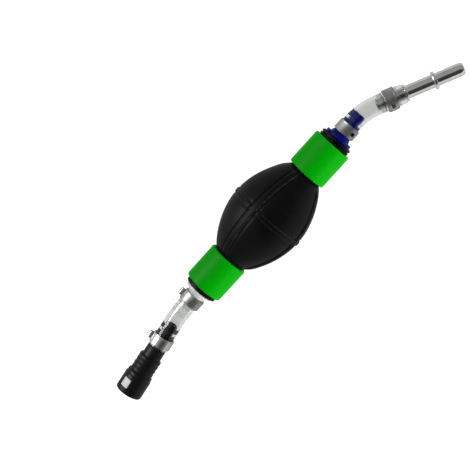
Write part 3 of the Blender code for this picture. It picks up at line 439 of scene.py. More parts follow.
# %% The route of a hose
TOWARDS_BEND = np.array([0.0, -1.0, 0.0])
HOSE_SWELL = 0.14 * MM
SWELL_WIDTH = 1.4 * MM
HOSE_RIM = 0.25 * MM
HOSE_COLUMNS = 96


def route_length(sizes):
    """Straight part + radius * bend + straight part."""
    straight_in, radius, bend, straight_out = sizes
    return straight_in + radius * bend + straight_out


def route(at, sizes, distance):
    """Centre, direction and normal at each distance along: a line, then an arc of the given radius whose
    angle is the distance over the radius, then a line again."""
    straight_in, radius, bend = sizes[:3]
    angle = np.clip((distance - straight_in) / radius, 0, bend)
    rest = np.maximum(distance - straight_in - radius * bend, 0)
    side = radius * (1 - np.cos(angle)) + rest * np.sin(bend)
    ahead = np.minimum(distance, straight_in) + radius * np.sin(angle) + rest * np.cos(bend)
    forward, across = at[3], TOWARDS_BEND
    middle = at[0] + ahead[:, None] * forward + side[:, None] * across
    direction = np.cos(angle)[:, None] * forward + np.sin(angle)[:, None] * across
    normal = np.cos(angle)[:, None] * across - np.sin(angle)[:, None] * forward
    return middle, direction, normal


def stretched_bore(s, total):
    """The bore at distance s: its own radius, or that of the barb where it is larger, less a hair so that the
    two touch. Each barb's line is read off with linear interpolation, from the hose's end that it is in."""
    bore = np.full_like(s, HOSE_BORE)
    for distance, length, teeth in ((s, CAP_BARB_LENGTH, CAP_TEETH), (total - s, FAR_BARB_LENGTH, FAR_TEETH)):
        line = barb_line(length, 0.0, teeth)[::-1]
        barb_r = np.interp(distance, line[:, 1], line[:, 0], right=0.0)
        bore = np.maximum(bore, barb_r - CONTACT)
    return bore


def hose(name, at, sizes):
    """A ring section along the route: middle + r (cos t down + sin t normal). The outer radius has a
    bell-shaped swelling over each barb crest, and the section turns in at both ends to the bore."""
    total = route_length(sizes)
    s = np.linspace(0, total, 150)
    near_crests = CAP_BARB_LENGTH - crest_distances(CAP_TEETH)
    far_crests = total - (FAR_BARB_LENGTH - crest_distances(FAR_TEETH))
    past_crest = s[:, None] - np.concatenate([near_crests, far_crests])
    swell = HOSE_SWELL * np.exp(-((past_crest / SWELL_WIDTH) ** 2)).sum(axis=1)
    outer_s = s.clip(HOSE_RIM * 0.6, total - HOSE_RIM * 0.6)
    along = np.concatenate([[0.0], outer_s, [total], [total], s[::-1], [0.0]])
    bore = stretched_bore(s, total)
    outer_rim = [HOSE_R - HOSE_RIM]
    r = np.concatenate([
        outer_rim, HOSE_R + swell, outer_rim, [bore[-1] + HOSE_RIM], bore[::-1], [bore[0] + HOSE_RIM]])
    middle, _, normal = route(at, sizes, along)
    t = np.linspace(0, 2 * np.pi, HOSE_COLUMNS, endpoint=False)[None, :, None]
    down = np.array([0.0, 0.0, -1.0])
    points = middle[:, None] + r[:, None, None] * (np.cos(t) * down + np.sin(t) * normal[:, None])
    return grid_piece(name, points)


# %% Hoses
OUTLET_BEND, INLET_BEND = 24.9, 9.0
OUTLET_HOSE = (10.2 * MM, 48.0 * MM, np.radians(OUTLET_BEND), 19.8 * MM)
INLET_HOSE = (9.8 * MM, 80.0 * MM, np.radians(INLET_BEND), 24.7 * MM)
hoses, ends = {}, {}
for side, sizes in (("outlet", OUTLET_HOSE), ("inlet", INLET_HOSE)):
    start = shifted(cap_at[side], HOSE_STOP + FIT_GAP)
    total = route_length(sizes)
    hoses[side] = hose(f"{side}_hose_skin", start, sizes)
    last, heading, _ = route(start, sizes, np.array([total]))
    ends[side] = frame_along(last[0], heading[0])
    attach(hoses[side], "pump")
    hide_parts(f"{side}_hose")
    print(side, "hose, mm:", round(total / MM, 1))

# %% [markdown]
# ## The metal pipe
# The outlet ends in a bright turned pipe. A bead round it is what a quick coupler locks behind, its tip is
# chamfered to find the coupler's seals, and a barb holds it in the hose. Polished metal shows every facet,
# so this section is turned in many steps.

# %% Spigot
PIPE_R = 4.745 * MM
PIPE_BORE = 2.9 * MM
PIPE_LENGTH = 43.2 * MM
PIPE_TIP_R = 4.0 * MM
PIPE_CHAMFER = 2.4 * MM
BEAD_R = 6.45 * MM
BEAD_WIDTH = 2.3 * MM
BEAD_AT = PIPE_LENGTH - 21.1 * MM
SHOULDER_R = 6.2 * MM
SHOULDER_WIDTH = 1.3 * MM
pipe_outside = [
    (PIPE_TIP_R, PIPE_LENGTH),
    (PIPE_R, PIPE_LENGTH - PIPE_CHAMFER),
    (PIPE_R, BEAD_AT + BEAD_WIDTH / 2),
    (BEAD_R, BEAD_AT + BEAD_WIDTH / 2),
    (BEAD_R, BEAD_AT - BEAD_WIDTH / 2),
    (PIPE_R, BEAD_AT - BEAD_WIDTH / 2),
    (PIPE_R, FIT_GAP + SHOULDER_WIDTH),
    (SHOULDER_R, FIT_GAP + SHOULDER_WIDTH),
    (SHOULDER_R, FIT_GAP),
]
outside_reach = np.array([0.4, 1.0, 0.3, 0.85, 0.85, 0.3, 0.3, 0.4, 0.3]) * MM
far_barb = barb_line(-FAR_BARB_LENGTH, FIT_GAP, FAR_TEETH)[::-1]
pipe_corners = np.concatenate([
    pipe_outside, far_barb, [(PIPE_BORE, -FAR_BARB_LENGTH), (PIPE_BORE, PIPE_LENGTH)]])
pipe_reach = np.full(len(pipe_corners), 0.25 * MM)
pipe_reach[:len(pipe_outside)] = outside_reach
spigot = turned("outlet_spigot_skin", pipe_corners, pipe_reach, 6, ends["outlet"], 128)
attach(spigot, "pump")
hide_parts("outlet_spigot")

# %% [markdown]
# ## Prisms, joined or taken out
# A window, a slot or a stamped ear isn't round, so a grid that runs round an axis can't hold it. A prism
# can: an outline in a frame's own plane, swept along the frame. A Boolean joins it to a piece or takes it
# out, and then each edge over 35 degrees is marked as sharp, so that only real corners look like corners.

# %% Prisms
SHARP = np.radians(35.0)
MERGE = 0.002 * MM


def prism(outline, at, low, high):
    """The solid that the outline (x across, y up) sweeps from height low to height high of the frame."""
    count = len(outline)
    i = np.arange(count)
    rings = np.concatenate([np.column_stack([outline, np.full(count, level)]) for level in (low, high)])
    sides = np.column_stack([i, (i + 1) % count, (i + 1) % count + count, i + count])
    mesh = bpy.data.meshes.new("prism")
    faces = [i[::-1].tolist(), (i + count).tolist(), *sides.tolist()]
    mesh.from_pydata(placed(at, rings).tolist(), [], faces)
    return stand("prism", mesh)


def combine(piece, operation, other):
    """Joins the other solid to the piece (UNION) or takes it out (DIFFERENCE). Points that coincide are
    merged, and faces of more than four corners are cut into triangles, so that the mesh stays closed."""
    step = piece.modifiers.new("combine", "BOOLEAN")
    step.object, step.operation, step.solver = other, operation, "EXACT"
    evaluated = piece.evaluated_get(bpy.context.evaluated_depsgraph_get())
    result = bpy.data.meshes.new_from_object(evaluated)
    piece.modifiers.clear()
    piece.data = result
    editable = bmesh.new()
    editable.from_mesh(result)
    bmesh.ops.remove_doubles(editable, verts=editable.verts, dist=MERGE)
    bmesh.ops.triangulate(editable, faces=[face for face in editable.faces if len(face.verts) > 4])
    editable.to_mesh(result)
    editable.free()
    result.set_sharp_from_angle(angle=SHARP)
    bpy.data.objects.remove(other)


def arc(radius, first, last, count):
    """Points on a circle round the origin, from angle first to angle last in degrees."""
    t = np.radians(np.linspace(first, last, count))
    return radius * np.stack([np.cos(t), np.sin(t)], axis=1)


# %% [markdown]
# ## The clamps
# Each hose end is held by a steel band clamp: a thin band with rolled edges, a tongue that laps over it, a
# crimped ear, a window that the tongue's hook would show through and a small notch in one edge. One clamp
# is made on a frame at the origin, and its copies are carried to the four places.

# %% Clamp sizes
CLAMP_HALF = 4.0 * MM
CLAMP_BORE = HOSE_R + FIT_GAP
CLAMP_BAND = 0.7 * MM
CLAMP_OUTER = CLAMP_BORE + CLAMP_BAND
CLAMP_ROLL = 0.14 * MM
ROLL_WIDTH = 0.7 * MM
TONGUE_RISE = 0.5 * MM
TONGUE_HALF = 3.3 * MM
TONGUE_FROM, TONGUE_TO = -30.0, 62.0
EAR_HEIGHT = 3.2 * MM
EAR_R = 1.8 * MM
EAR_HALF = 2.4 * MM
NOTCH = 1.1 * MM
NOTCH_TURN = np.radians(-85.0)
WINDOW_HALF = np.array([1.3, 1.95]) * MM
EDGE_ROUND = 0.25 * MM
WINDOW_ROUND = 0.5 * MM
OVERCUT = 1.0 * MM

# %% One clamp
square = np.array([(-1, -1), (1, -1), (1, 1), (-1, 1)])
at_origin = frame_along((0, 0, 0), (0, 0, 1), (1, 0, 0))
band_corners = [
    (CLAMP_OUTER + CLAMP_ROLL, CLAMP_HALF),
    (CLAMP_OUTER + CLAMP_ROLL, CLAMP_HALF - ROLL_WIDTH),
    (CLAMP_OUTER, CLAMP_HALF - 1.5 * ROLL_WIDTH),
    (CLAMP_OUTER, 1.5 * ROLL_WIDTH - CLAMP_HALF),
    (CLAMP_OUTER + CLAMP_ROLL, ROLL_WIDTH - CLAMP_HALF),
    (CLAMP_OUTER + CLAMP_ROLL, -CLAMP_HALF),
    (CLAMP_BORE, -CLAMP_HALF),
    (CLAMP_BORE, CLAMP_HALF),
]
clamp = turned("clamp_pattern", band_corners, EDGE_ROUND, 4, at_origin, 120)
tongue = np.concatenate([arc(CLAMP_OUTER + TONGUE_RISE, TONGUE_FROM, TONGUE_TO, 32),
                         arc(CLAMP_OUTER - CLAMP_BAND / 2, TONGUE_TO, TONGUE_FROM, 32)])
combine(clamp, "UNION", prism(tongue, at_origin, -TONGUE_HALF, TONGUE_HALF))
ear_middle = (CLAMP_OUTER + EAR_HEIGHT - EAR_R, 0)
behind = frame_along((0, 0, 0), (0, 0, 1), (-1, 0, 0))
for radius, foot, operation, depth in ((EAR_R, CLAMP_OUTER - CLAMP_BAND / 2, "UNION", EAR_HALF),
                                       (EAR_R - CLAMP_BAND, CLAMP_OUTER, "DIFFERENCE", 2 * EAR_HALF)):
    loop = np.concatenate([[(foot, -radius)], ear_middle + arc(radius, -90, 90, 20), [(foot, radius)]])
    combine(clamp, operation, prism(loop, behind, -depth, depth))
outwards = frame_along((0, 0, 0), (1, 0, 0), (0, 0, 1))
window_outline = soft_corners(square * WINDOW_HALF, WINDOW_ROUND, 6)[0]
combine(clamp, "DIFFERENCE", prism(window_outline, outwards, CLAMP_BORE - OVERCUT, CLAMP_OUTER + 2 * OVERCUT))
notch_way = (np.cos(NOTCH_TURN), np.sin(NOTCH_TURN), 0)
notch_at = frame_along((0, 0, CLAMP_HALF), notch_way, (0, 0, 1))
notch_outline = soft_corners(square * NOTCH / 2, EDGE_ROUND, 5)[0]
combine(clamp, "DIFFERENCE", prism(notch_outline, notch_at, CLAMP_BORE - OVERCUT, CLAMP_OUTER + OVERCUT))

# %% Four clamps
OUTLET_WINDOW = np.radians(-35.0)
INLET_WINDOW = np.radians(-90.0)
CAP_CLAMP_SETBACK = 4.2 * MM
SPIGOT_CLAMP_SETBACK = 10.3 * MM
COUPLER_CLAMP_SETBACK = 5.8 * MM
clamp_places = {
    "outlet_cap_clamp": (shifted(cap_at["outlet"], HOSE_STOP + CAP_CLAMP_SETBACK), OUTLET_WINDOW),
    "spigot_clamp": (shifted(ends["outlet"], -SPIGOT_CLAMP_SETBACK), OUTLET_WINDOW),
    "inlet_cap_clamp": (shifted(cap_at["inlet"], HOSE_STOP + CAP_CLAMP_SETBACK), INLET_WINDOW),
    "coupler_clamp": (shifted(ends["inlet"], -COUPLER_CLAMP_SETBACK), INLET_WINDOW),
}
clamps = {}
for name, (middle, window_turn) in clamp_places.items():
    facing = (0, np.sin(window_turn), np.cos(window_turn))
    mesh = clamp.data.copy()
    mesh.transform(matrix_of(frame_along(middle[0], middle[3], facing)))
    clamps[name] = stand(f"{name}_skin", mesh)
    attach(clamps[name], "pump")
    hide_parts(name)
bpy.data.objects.remove(clamp)
print("triangles in a clamp:", sum(len(face.vertices) - 2 for face in mesh.polygons))

# %% [markdown]
# ## The quick coupler
# The coupler's black body has a barb, a ribbed grip and a wider collar, and a nose ring closes its mouth. A
# lock plate slides across inside the collar, and its button shows in a window. The body is turned first. One
# prism is then taken out of it, as the core of a mould would do: the plate's chamber with its window.

# %% Coupler sizes
COUPLER_LENGTH = 39.6 * MM
COLLAR_R = 10.0 * MM
COLLAR_FOOT = COUPLER_LENGTH - 17.3 * MM
COLLAR_STEP = 0.5 * MM
STEP_TOP = COLLAR_FOOT + 3.2 * MM
NOSE_FOOT = COUPLER_LENGTH - 4.0 * MM
CHAMBER_TOP = NOSE_FOOT - FIT_GAP
CHAMBER_HIGH = 7.0 * MM
CHAMBER_R = 7.9 * MM
LATCH_TRAVEL = 1.2 * MM
RIB_R = 8.5 * MM
RIB_DEPTH = 0.38 * MM
RIB_COUNT = 4
RIBS_FOOT = COLLAR_FOOT - 14.0 * MM
COUPLER_NECK_R = 7.0 * MM
BEAD_BORE = 6.8 * MM
PIPE_GUIDE = 4.945 * MM
SEAL_BORE = 6.745 * MM
WINDOW_WIDTH = 6.3 * MM
BUTTON_TURN = np.radians(36.0)
SEAL_LENGTH = 8.3 * MM
GUIDE_LENGTH = 20.25 * MM
RIB_ROUND = 0.9 * MM
CORNER_ROUND = 0.3 * MM
NOSE_CHAMFER = 1.0 * MM


# %% Coupler
pitch = (COLLAR_FOOT - RIBS_FOOT) / RIB_COUNT
rib_top = COLLAR_FOOT - np.arange(RIB_COUNT)[:, None] * pitch
rib_heights = rib_top - pitch * np.array([0.1, 0.3, 0.8, 1.0])
rib_radii = np.broadcast_to([RIB_R - RIB_DEPTH, RIB_R, RIB_R, RIB_R - RIB_DEPTH], rib_heights.shape)
POCKET_TOP = CHAMBER_TOP - CHAMBER_HIGH - BEAD_WIDTH - FIT_GAP
POCKET_FOOT = POCKET_TOP - SEAL_LENGTH
BORE_STOP = CHAMBER_TOP - CHAMBER_HIGH - BEAD_WIDTH - GUIDE_LENGTH
collar = [
    (COLLAR_R, CHAMBER_TOP),
    (COLLAR_R, STEP_TOP),
    (COLLAR_R - COLLAR_STEP, STEP_TOP - COLLAR_STEP),
    (COLLAR_R - COLLAR_STEP, COLLAR_FOOT + COLLAR_STEP),
    (COLLAR_R - 2 * COLLAR_STEP, COLLAR_FOOT),
]
body_corners = np.concatenate([collar, np.stack([rib_radii.ravel(), rib_heights.ravel()], axis=1), [
    (COUPLER_NECK_R, RIBS_FOOT),
    (COUPLER_NECK_R, FIT_GAP),
], far_barb, [
    (FLOW_BORE, -FAR_BARB_LENGTH),
    (FLOW_BORE, BORE_STOP),
    (PIPE_GUIDE, BORE_STOP),
    (PIPE_GUIDE, POCKET_FOOT),
    (SEAL_BORE, POCKET_FOOT),
    (SEAL_BORE, POCKET_TOP),
    (BEAD_BORE, POCKET_TOP),
    (BEAD_BORE, CHAMBER_TOP),
]])
body_reach = np.full(len(body_corners), CORNER_ROUND)
body_reach[len(collar):len(collar) + rib_radii.size] = RIB_ROUND
coupler = turned("coupler_body_skin", body_corners, body_reach, 5, ends["inlet"], 120)
button_side = (0, np.sin(BUTTON_TURN), np.cos(BUTTON_TURN))
button_at = frame_along(ends["inlet"][0], ends["inlet"][3], button_side)
window_half = WINDOW_WIDTH / 2
window_edge = np.degrees(np.arcsin(window_half / CHAMBER_R))
outside = COLLAR_R * 1.5
chamber = np.concatenate([
    arc(CHAMBER_R, -90, -window_edge, 9) + (LATCH_TRAVEL, 0),
    [(outside, -window_half), (outside, window_half)],
    arc(CHAMBER_R, window_edge, 90, 9) + (LATCH_TRAVEL, 0),
    arc(CHAMBER_R, 90, 270, 24),
])
combine(coupler, "DIFFERENCE", prism(chamber, button_at, CHAMBER_TOP - CHAMBER_HIGH, CHAMBER_TOP + OVERCUT))
nose_corners = [
    (COLLAR_R, COUPLER_LENGTH),
    (COLLAR_R, NOSE_FOOT),
    (BEAD_BORE, NOSE_FOOT),
    (BEAD_BORE, COUPLER_LENGTH - NOSE_CHAMFER),
    (BEAD_BORE + NOSE_CHAMFER, COUPLER_LENGTH),
]
nose_reach = np.array([1.1, 0.15, 0.15, 0.3, 0.3]) * MM
nose = turned("coupler_nose_skin", nose_corners, nose_reach, 6, ends["inlet"], 120)
for piece, name in ((coupler, "coupler_body"), (nose, "coupler_nose")):
    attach(piece, "pump")
    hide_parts(name)

# %% [markdown]
# ## The springs
# A valve's spring stands between its cage, which stays, and its poppet, which lifts. The leaf spring lies
# between the chamber's wall and the lock plate. A copy of each spring's own mesh is made as a new piece in
# place, without its materials, and the CAD spring is hidden. The leaf spring is thinner than the latch's
# travel.

# %% Springs
LEAF_REACH = 2.2
springs = {}
for name, mover, body, reach in (("inlet_valve_spring", "inlet_valve_poppet", "inlet_valve", 1.0),
                                 ("outlet_valve_spring", "outlet_valve_poppet", "outlet_valve", 1.0),
                                 ("latch_spring", "coupler_latch", "latch", LEAF_REACH)):
    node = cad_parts[name]
    mesh = node.data.copy()
    mesh.transform(node.matrix_world)
    mesh.materials.clear()
    springs[name] = stand(f"{name}_skin", mesh)
    points = np.empty((len(mesh.vertices), 3), np.float32)
    mesh.vertices.foreach_get("co", points.ravel())
    points = points.astype(float)
    middle = points.mean(axis=0)
    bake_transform(springs[name])
    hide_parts(name)

# %% [markdown]
# ## Materials: small helpers
# A material here is a Principled shader with a few nodes before it. The first helper feeds the inputs of a
# node, and the others each add one kind of node, which keeps every recipe short.

# %% Feeding nodes
def feed(tree, node, inputs):
    """By name or number of the input: an output of another node is linked, a plain value is set."""
    for name, value in inputs.items():
        if isinstance(value, bpy.types.NodeSocket):
            tree.links.new(value, node.inputs[name])
        else:
            node.inputs[name].default_value = value


def add_node(tree, kind, inputs, **settings):
    """A new node: its properties are set first, then its inputs are fed."""
    made = tree.nodes.new(kind)
    for name, value in settings.items():
        setattr(made, name, value)
    feed(tree, made, inputs)
    return made


def new_material(name):
    """An empty recipe: the material, its node tree, its Principled shader and its texture coordinates."""
    made = bpy.data.materials.new(name)
    made.use_nodes = True
    tree = made.node_tree
    print("material:", name)
    return made, tree, tree.nodes["Principled BSDF"], tree.nodes.new("ShaderNodeTexCoord").outputs


# %% Sums and patterns
def mixed(tree, factor, first, second):
    """first * (1 - factor) + second * factor. A Mix node's colours are inputs 6 and 7 and output 2."""
    return add_node(tree, "ShaderNodeMix", {0: factor, 6: first, 7: second}, data_type="RGBA").outputs[2]


def scaled(tree, value, factor, offset=0.0, clamp=False):
    """value * factor + offset, kept between 0 and 1 if it is clamped."""
    inputs = {0: value, 1: factor, 2: offset}
    total = add_node(tree, "ShaderNodeMath", inputs, operation="MULTIPLY_ADD", use_clamp=clamp)
    return total.outputs["Value"]


def mapped(tree, value, low, high, to_low=0.0, to_high=1.0, **settings):
    """to_low + (to_high - to_low) * (value - low) / (high - low), kept between the two ends."""
    inputs = {"Value": value, "From Min": low, "From Max": high, "To Min": to_low, "To Max": to_high}
    return add_node(tree, "ShaderNodeMapRange", inputs, **settings).outputs["Result"]


def mapping(tree, vector, rotation=(0, 0, 0), scale=(1, 1, 1)):
    """The coordinates turned and stretched."""
    inputs = {"Vector": vector, "Rotation": rotation, "Scale": scale}
    return add_node(tree, "ShaderNodeMapping", inputs).outputs["Vector"]


def noise(tree, vector, scale, detail, **more):
    """The value of a noise texture. Its roughness and its distortion may be given too."""
    inputs = {"Vector": vector, "Scale": scale, "Detail": detail, **more}
    return add_node(tree, "ShaderNodeTexNoise", inputs).outputs["Fac"]


def bump(tree, shader, height, strength, distance):
    """Tilts the shader's normal as if the surface rose by height * distance."""
    dent = add_node(tree, "ShaderNodeBump", {"Height": height, "Strength": strength, "Distance": distance})
    feed(tree, shader, {"Normal": dent.outputs["Normal"]})


# %% Node groups
def new_group(name, numbers, masks):
    """A node group: a Vector and the named numbers, with their defaults, come in; the masks go out."""
    group = bpy.data.node_groups.new(name, "ShaderNodeTree")
    group.interface.new_socket(name="Vector", in_out="INPUT", socket_type="NodeSocketVector")
    for socket, value in numbers.items():
        made = group.interface.new_socket(name=socket, in_out="INPUT", socket_type="NodeSocketFloat")
        made.default_value = value
    for socket in masks:
        group.interface.new_socket(name=socket, in_out="OUTPUT", socket_type="NodeSocketFloat")
    print("node group:", name)
    return group, group.nodes.new("NodeGroupInput").outputs, group.nodes.new("NodeGroupOutput")


def use_group(tree, group, vector, numbers):
    """The outputs of the group, placed in a material with its own values."""
    return add_node(tree, "ShaderNodeGroup", {"Vector": vector, **numbers}, node_tree=group).outputs


# %% [markdown]
# ## Shared effects
# Three effects come back in many finishes, so each is a node group, built once. Moulded grain is a fine noise
# with a coarser one beside it. Handling leaves thin scratches and dull smudges. Rounded edges are painted
# paler in broken stretches, partly as rubbed wear and partly as a painted highlight, and an attribute of the
# new pieces says where they are.

# %% Moulded grain
grain_group, given, out = new_group(
    "moulded_grain", {"Grain size": 900.0, "Patch size": 60.0}, ("Height", "Patches"))
feed(grain_group, out, {
    "Height": noise(grain_group, given["Vector"], given["Grain size"], 3.0, Roughness=0.6),
    "Patches": noise(grain_group, given["Vector"], given["Patch size"], 4.0, Roughness=0.55)})

# %% Handling marks
marks_group, given, out = new_group(
    "handling_marks", {"Scratch size": 220.0, "Smudge size": 45.0}, ("Scratches", "Smudges"))
stretched = mapping(marks_group, given["Vector"], (0.4, 0.7, 0.9), (0.12, 1.6, 1.0))
scratch_noise = noise(marks_group, stretched, given["Scratch size"], 2.0)
smudge_noise = noise(marks_group, given["Vector"], given["Smudge size"], 5.0, Distortion=0.6)
feed(marks_group, out, {
    "Scratches": mapped(marks_group, scratch_noise, 0.64, 0.72),
    "Smudges": mapped(marks_group, smudge_noise, 0.42, 0.7)})

# %% Edge wear and painted highlight
edge_group, given, out = new_group("rubbed_and_highlit_edges", {"Breakup size": 300.0, "Amount": 0.6}, ("Mask",))
on_edge = add_node(edge_group, "ShaderNodeAttribute", {}, attribute_name="pale_rims").outputs["Fac"]
broken = mapped(edge_group, noise(edge_group, given["Vector"], given["Breakup size"], 3.0), 0.3, 0.7)
# The mask paints rounded edges paler: partly rubbed wear, partly a painted highlight.
feed(edge_group, out, {"Mask": scaled(edge_group, scaled(edge_group, on_edge, broken), given["Amount"])})


# %% [markdown]
# ## A recipe for moulded plastic and rubber
# Nylon, the green plastic, the coupler's black body and the seals are all moulded, so they share one recipe:
# two close colours mixed in patches, a roughness that smudges and scratches disturb, edges painted paler,
# partly as rubbed wear and partly as a painted highlight, and a fine bump. Each finish gives its own numbers.

# %% Moulded finishes
def effects(tree, vector, grain, patch, smudge, pale_rims):
    """The three shared effects with their sizes: grain and its patches, handling marks, and paler edges that
    are partly wear and partly a painted highlight.
    """
    return (use_group(tree, grain_group, vector, {"Grain size": grain, "Patch size": patch}),
            use_group(tree, marks_group, vector, {"Smudge size": smudge}),
            use_group(tree, edge_group, vector, {"Amount": pale_rims}))


def moulded(name, colour, patch_colour, roughness, grain=900.0, depth=0.02, edge_colour=None, specular=0.5):
    """Principled: colour = patches between the two colours, paler by the edge mask; roughness = its value
    plus 0.12 times the smudges and 0.1 times the scratches; bump = fine grain, depth millimetres high."""
    made, tree, shader, where = new_material(name)
    grains, marks, edges = effects(tree, where["Object"], grain, 70.0, 45.0, 0.7)
    body = mixed(tree, grains["Patches"], (*colour, 1), (*patch_colour, 1))
    smudged = scaled(tree, marks["Smudges"], 0.12, roughness)
    feed(tree, shader, {
        # Paler edge colour: partly rubbed wear, partly a painted highlight on the rims.
        "Base Color": mixed(tree, edges["Mask"], body, (*(edge_colour or patch_colour), 1)),
        "Roughness": scaled(tree, marks["Scratches"], 0.1, smudged, clamp=True),
        "Specular IOR Level": specular})
    bump(tree, shader, grains["Height"], 0.35, depth * MM)
    return made


green_plastic = moulded("green_plastic_moulded", (0.0, 0.444, 0.001), (0.0, 0.402, 0.002), 0.42,
                        edge_colour=(0.003, 0.48, 0.006), depth=0.03, specular=0.06)
blue_nylon = moulded("blue_nylon_moulded", (0.0017, 0.0026, 0.1275), (0.0026, 0.0034, 0.1785), 0.22,
                     edge_colour=(0.0068, 0.0102, 0.289), depth=0.015, specular=0.1)
white_nylon = moulded("white_nylon_moulded", (0.91, 0.93, 0.91), (0.93, 0.95, 0.93), 0.34,
                      edge_colour=(0.95, 0.96, 0.94), depth=0.015)
black_nylon = moulded("black_nylon_moulded", (0.002, 0.002, 0.0025), (0.004, 0.004, 0.0045), 0.38,
                      edge_colour=(0.01, 0.01, 0.012), depth=0.03, specular=0.17)
grey_latch = moulded("grey_latch_moulded", (0.84, 0.85, 0.9), (0.88, 0.89, 0.93), 0.4)
valve_acetal = moulded("valve_acetal_moulded", (0.76, 0.76, 0.72), (0.8, 0.8, 0.77), 0.36)
seal_rubber = moulded("seal_rubber_moulded", (0.014, 0.014, 0.014), (0.022, 0.022, 0.022), 0.5, grain=1500.0)

# %% [markdown]
# ## Bulb rubber
# The bulb's rubber is dull black. Its mould was polished across in one direction, which left fine slanting
# lines in the surface, and handling has left pale bloom in patches. The lines are a wave texture that a
# noise disturbs, and with the grain they make the bump.

# %% Bulb rubber
bulb_rubber, tree, shader, where = new_material("bulb_rubber")
grains, marks, edges = effects(tree, where["Object"], 1400.0, 38.0, 30.0, 0.8)
lines = add_node(tree, "ShaderNodeTexWave", {
    "Vector": mapping(tree, where["Object"], (0.0, 0.0, 0.55)), "Scale": 210.0, "Distortion": 1.6,
    "Detail": 2.0, "Detail Scale": 1.2}, wave_type="BANDS", bands_direction="Y")
bump(tree, shader, scaled(tree, lines.outputs["Fac"], 0.5, grains["Height"]), 0.5, 0.05 * MM)
bloom = mixed(tree, marks["Smudges"], (0.0015, 0.0015, 0.002, 1), (0.0035, 0.0035, 0.004, 1))
feed(tree, shader, {
    # Paler welt and band edges: partly rubbed wear, partly a painted highlight along them.
    "Base Color": mixed(tree, edges["Mask"], bloom, (0.035, 0.035, 0.037, 1)),
    "Roughness": mapped(tree, grains["Patches"], 0.3, 0.7, 0.4, 0.52),
    "Specular IOR Level": 0.1})

# %% [markdown]
# ## Metals
# The pipe was turned and polished, so very fine rings are left round it. The clamps are stamped from a
# rolled band, whose lines run the long way round. In both, a stretched noise drives a little roughness and
# bump. The pipe reads its own UV map, and a clamp turns the object's coordinates until they lie along its
# hose.

# %% Metal recipe
def metal(name, colour, dull_colour, roughness, scale, turn=0.0, where_from="Object"):
    """Metallic 1, colour dulled by smudges. Stretched noise gives the bump, and the roughness between 0.75
    and 1.4 times its value, plus 0.12 times the scratches."""
    made, tree, shader, where = new_material(name)
    brushed = noise(tree, mapping(tree, where[where_from], (0, 0, turn), scale), 1.0, 3.0)
    marks = use_group(tree, marks_group, where["Object"], {"Smudge size": 120.0})
    streaked = mapped(tree, brushed, 0.3, 0.7, roughness * 0.75, roughness * 1.4)
    feed(tree, shader, {
        "Base Color": mixed(tree, marks["Smudges"], (*colour, 1), (*dull_colour, 1)),
        "Roughness": scaled(tree, marks["Scratches"], 0.12, streaked, clamp=True),
        "Metallic": 1.0})
    bump(tree, shader, brushed, 0.2, 0.01 * MM)
    return made


# %% Metals
TURNED_RINGS = (900.0, 2.0, 1.0)
BAND_LINES = (9000.0, 60.0, 60.0)
WIRE_GRAIN = (400.0, 400.0, 400.0)
BAND_LOOK = ((0.36, 0.36, 0.35), (0.22, 0.22, 0.215), 0.42)
BRIGHT_BAND_LOOK = ((0.5, 0.5, 0.49), (0.36, 0.36, 0.35), 0.3)
PIPE_LOOK = ((0.66, 0.66, 0.65), (0.55, 0.55, 0.54), 0.14)
WIRE_LOOK = ((0.6, 0.6, 0.6), (0.45, 0.45, 0.45), 0.22)
band_straight = metal("steel_band_straight", *BAND_LOOK, BAND_LINES)
band_outlet = metal("steel_band_outlet", *BAND_LOOK, BAND_LINES, np.radians(OUTLET_BEND))
band_coupler = metal("steel_band_coupler", *BRIGHT_BAND_LOOK, BAND_LINES, np.radians(-INLET_BEND))
polished_steel = metal("polished_steel_turned", *PIPE_LOOK, TURNED_RINGS, where_from="UV")
spring_steel = metal("spring_steel_drawn", *WIRE_LOOK, WIRE_GRAIN)

# %% [markdown]
# ## Clear hose
# The hoses are soft clear plastic, slightly milky. Light passes through the wall and bends, which thickens
# the edges and enlarges what is inside. A constant transmission does that. Faint lines from drawing the
# tube run along it, and a noise on the UV map, stretched along the hose, gives them as bump. A shadow ray
# sees the wall as almost open, so that the barbs inside are well lit.

# %% Clear hose material
clear_hose, tree, shader, where = new_material("clear_hose_pvc")
drawn = mapping(tree, where["UV"], scale=(3.0, 34.0, 1.0))
bump(tree, shader, noise(tree, drawn, 1.0, 2.0), 0.2, 0.03 * MM)
grains = use_group(tree, grain_group, where["Object"], {"Grain size": 700.0, "Patch size": 90.0})
ray = tree.nodes.new("ShaderNodeLightPath").outputs
feed(tree, shader, {
    "Transmission Weight": 1.0,
    "IOR": 1.46,
    "Base Color": mixed(tree, grains["Patches"], (0.75, 0.765, 0.745, 1), (0.83, 0.845, 0.825, 1)),
    "Roughness": mapped(tree, grains["Patches"], 0.3, 0.7, 0.04, 0.1),
    "Alpha": scaled(tree, ray["Is Shadow Ray"], -0.95, 1.0)})


# %% [markdown]
# ## Putting the finishes on
# One table says which pieces take which finish. A new piece takes its material as its only one. A CAD piece
# that is kept gets it in each of its slots, and its shape stays as it is.

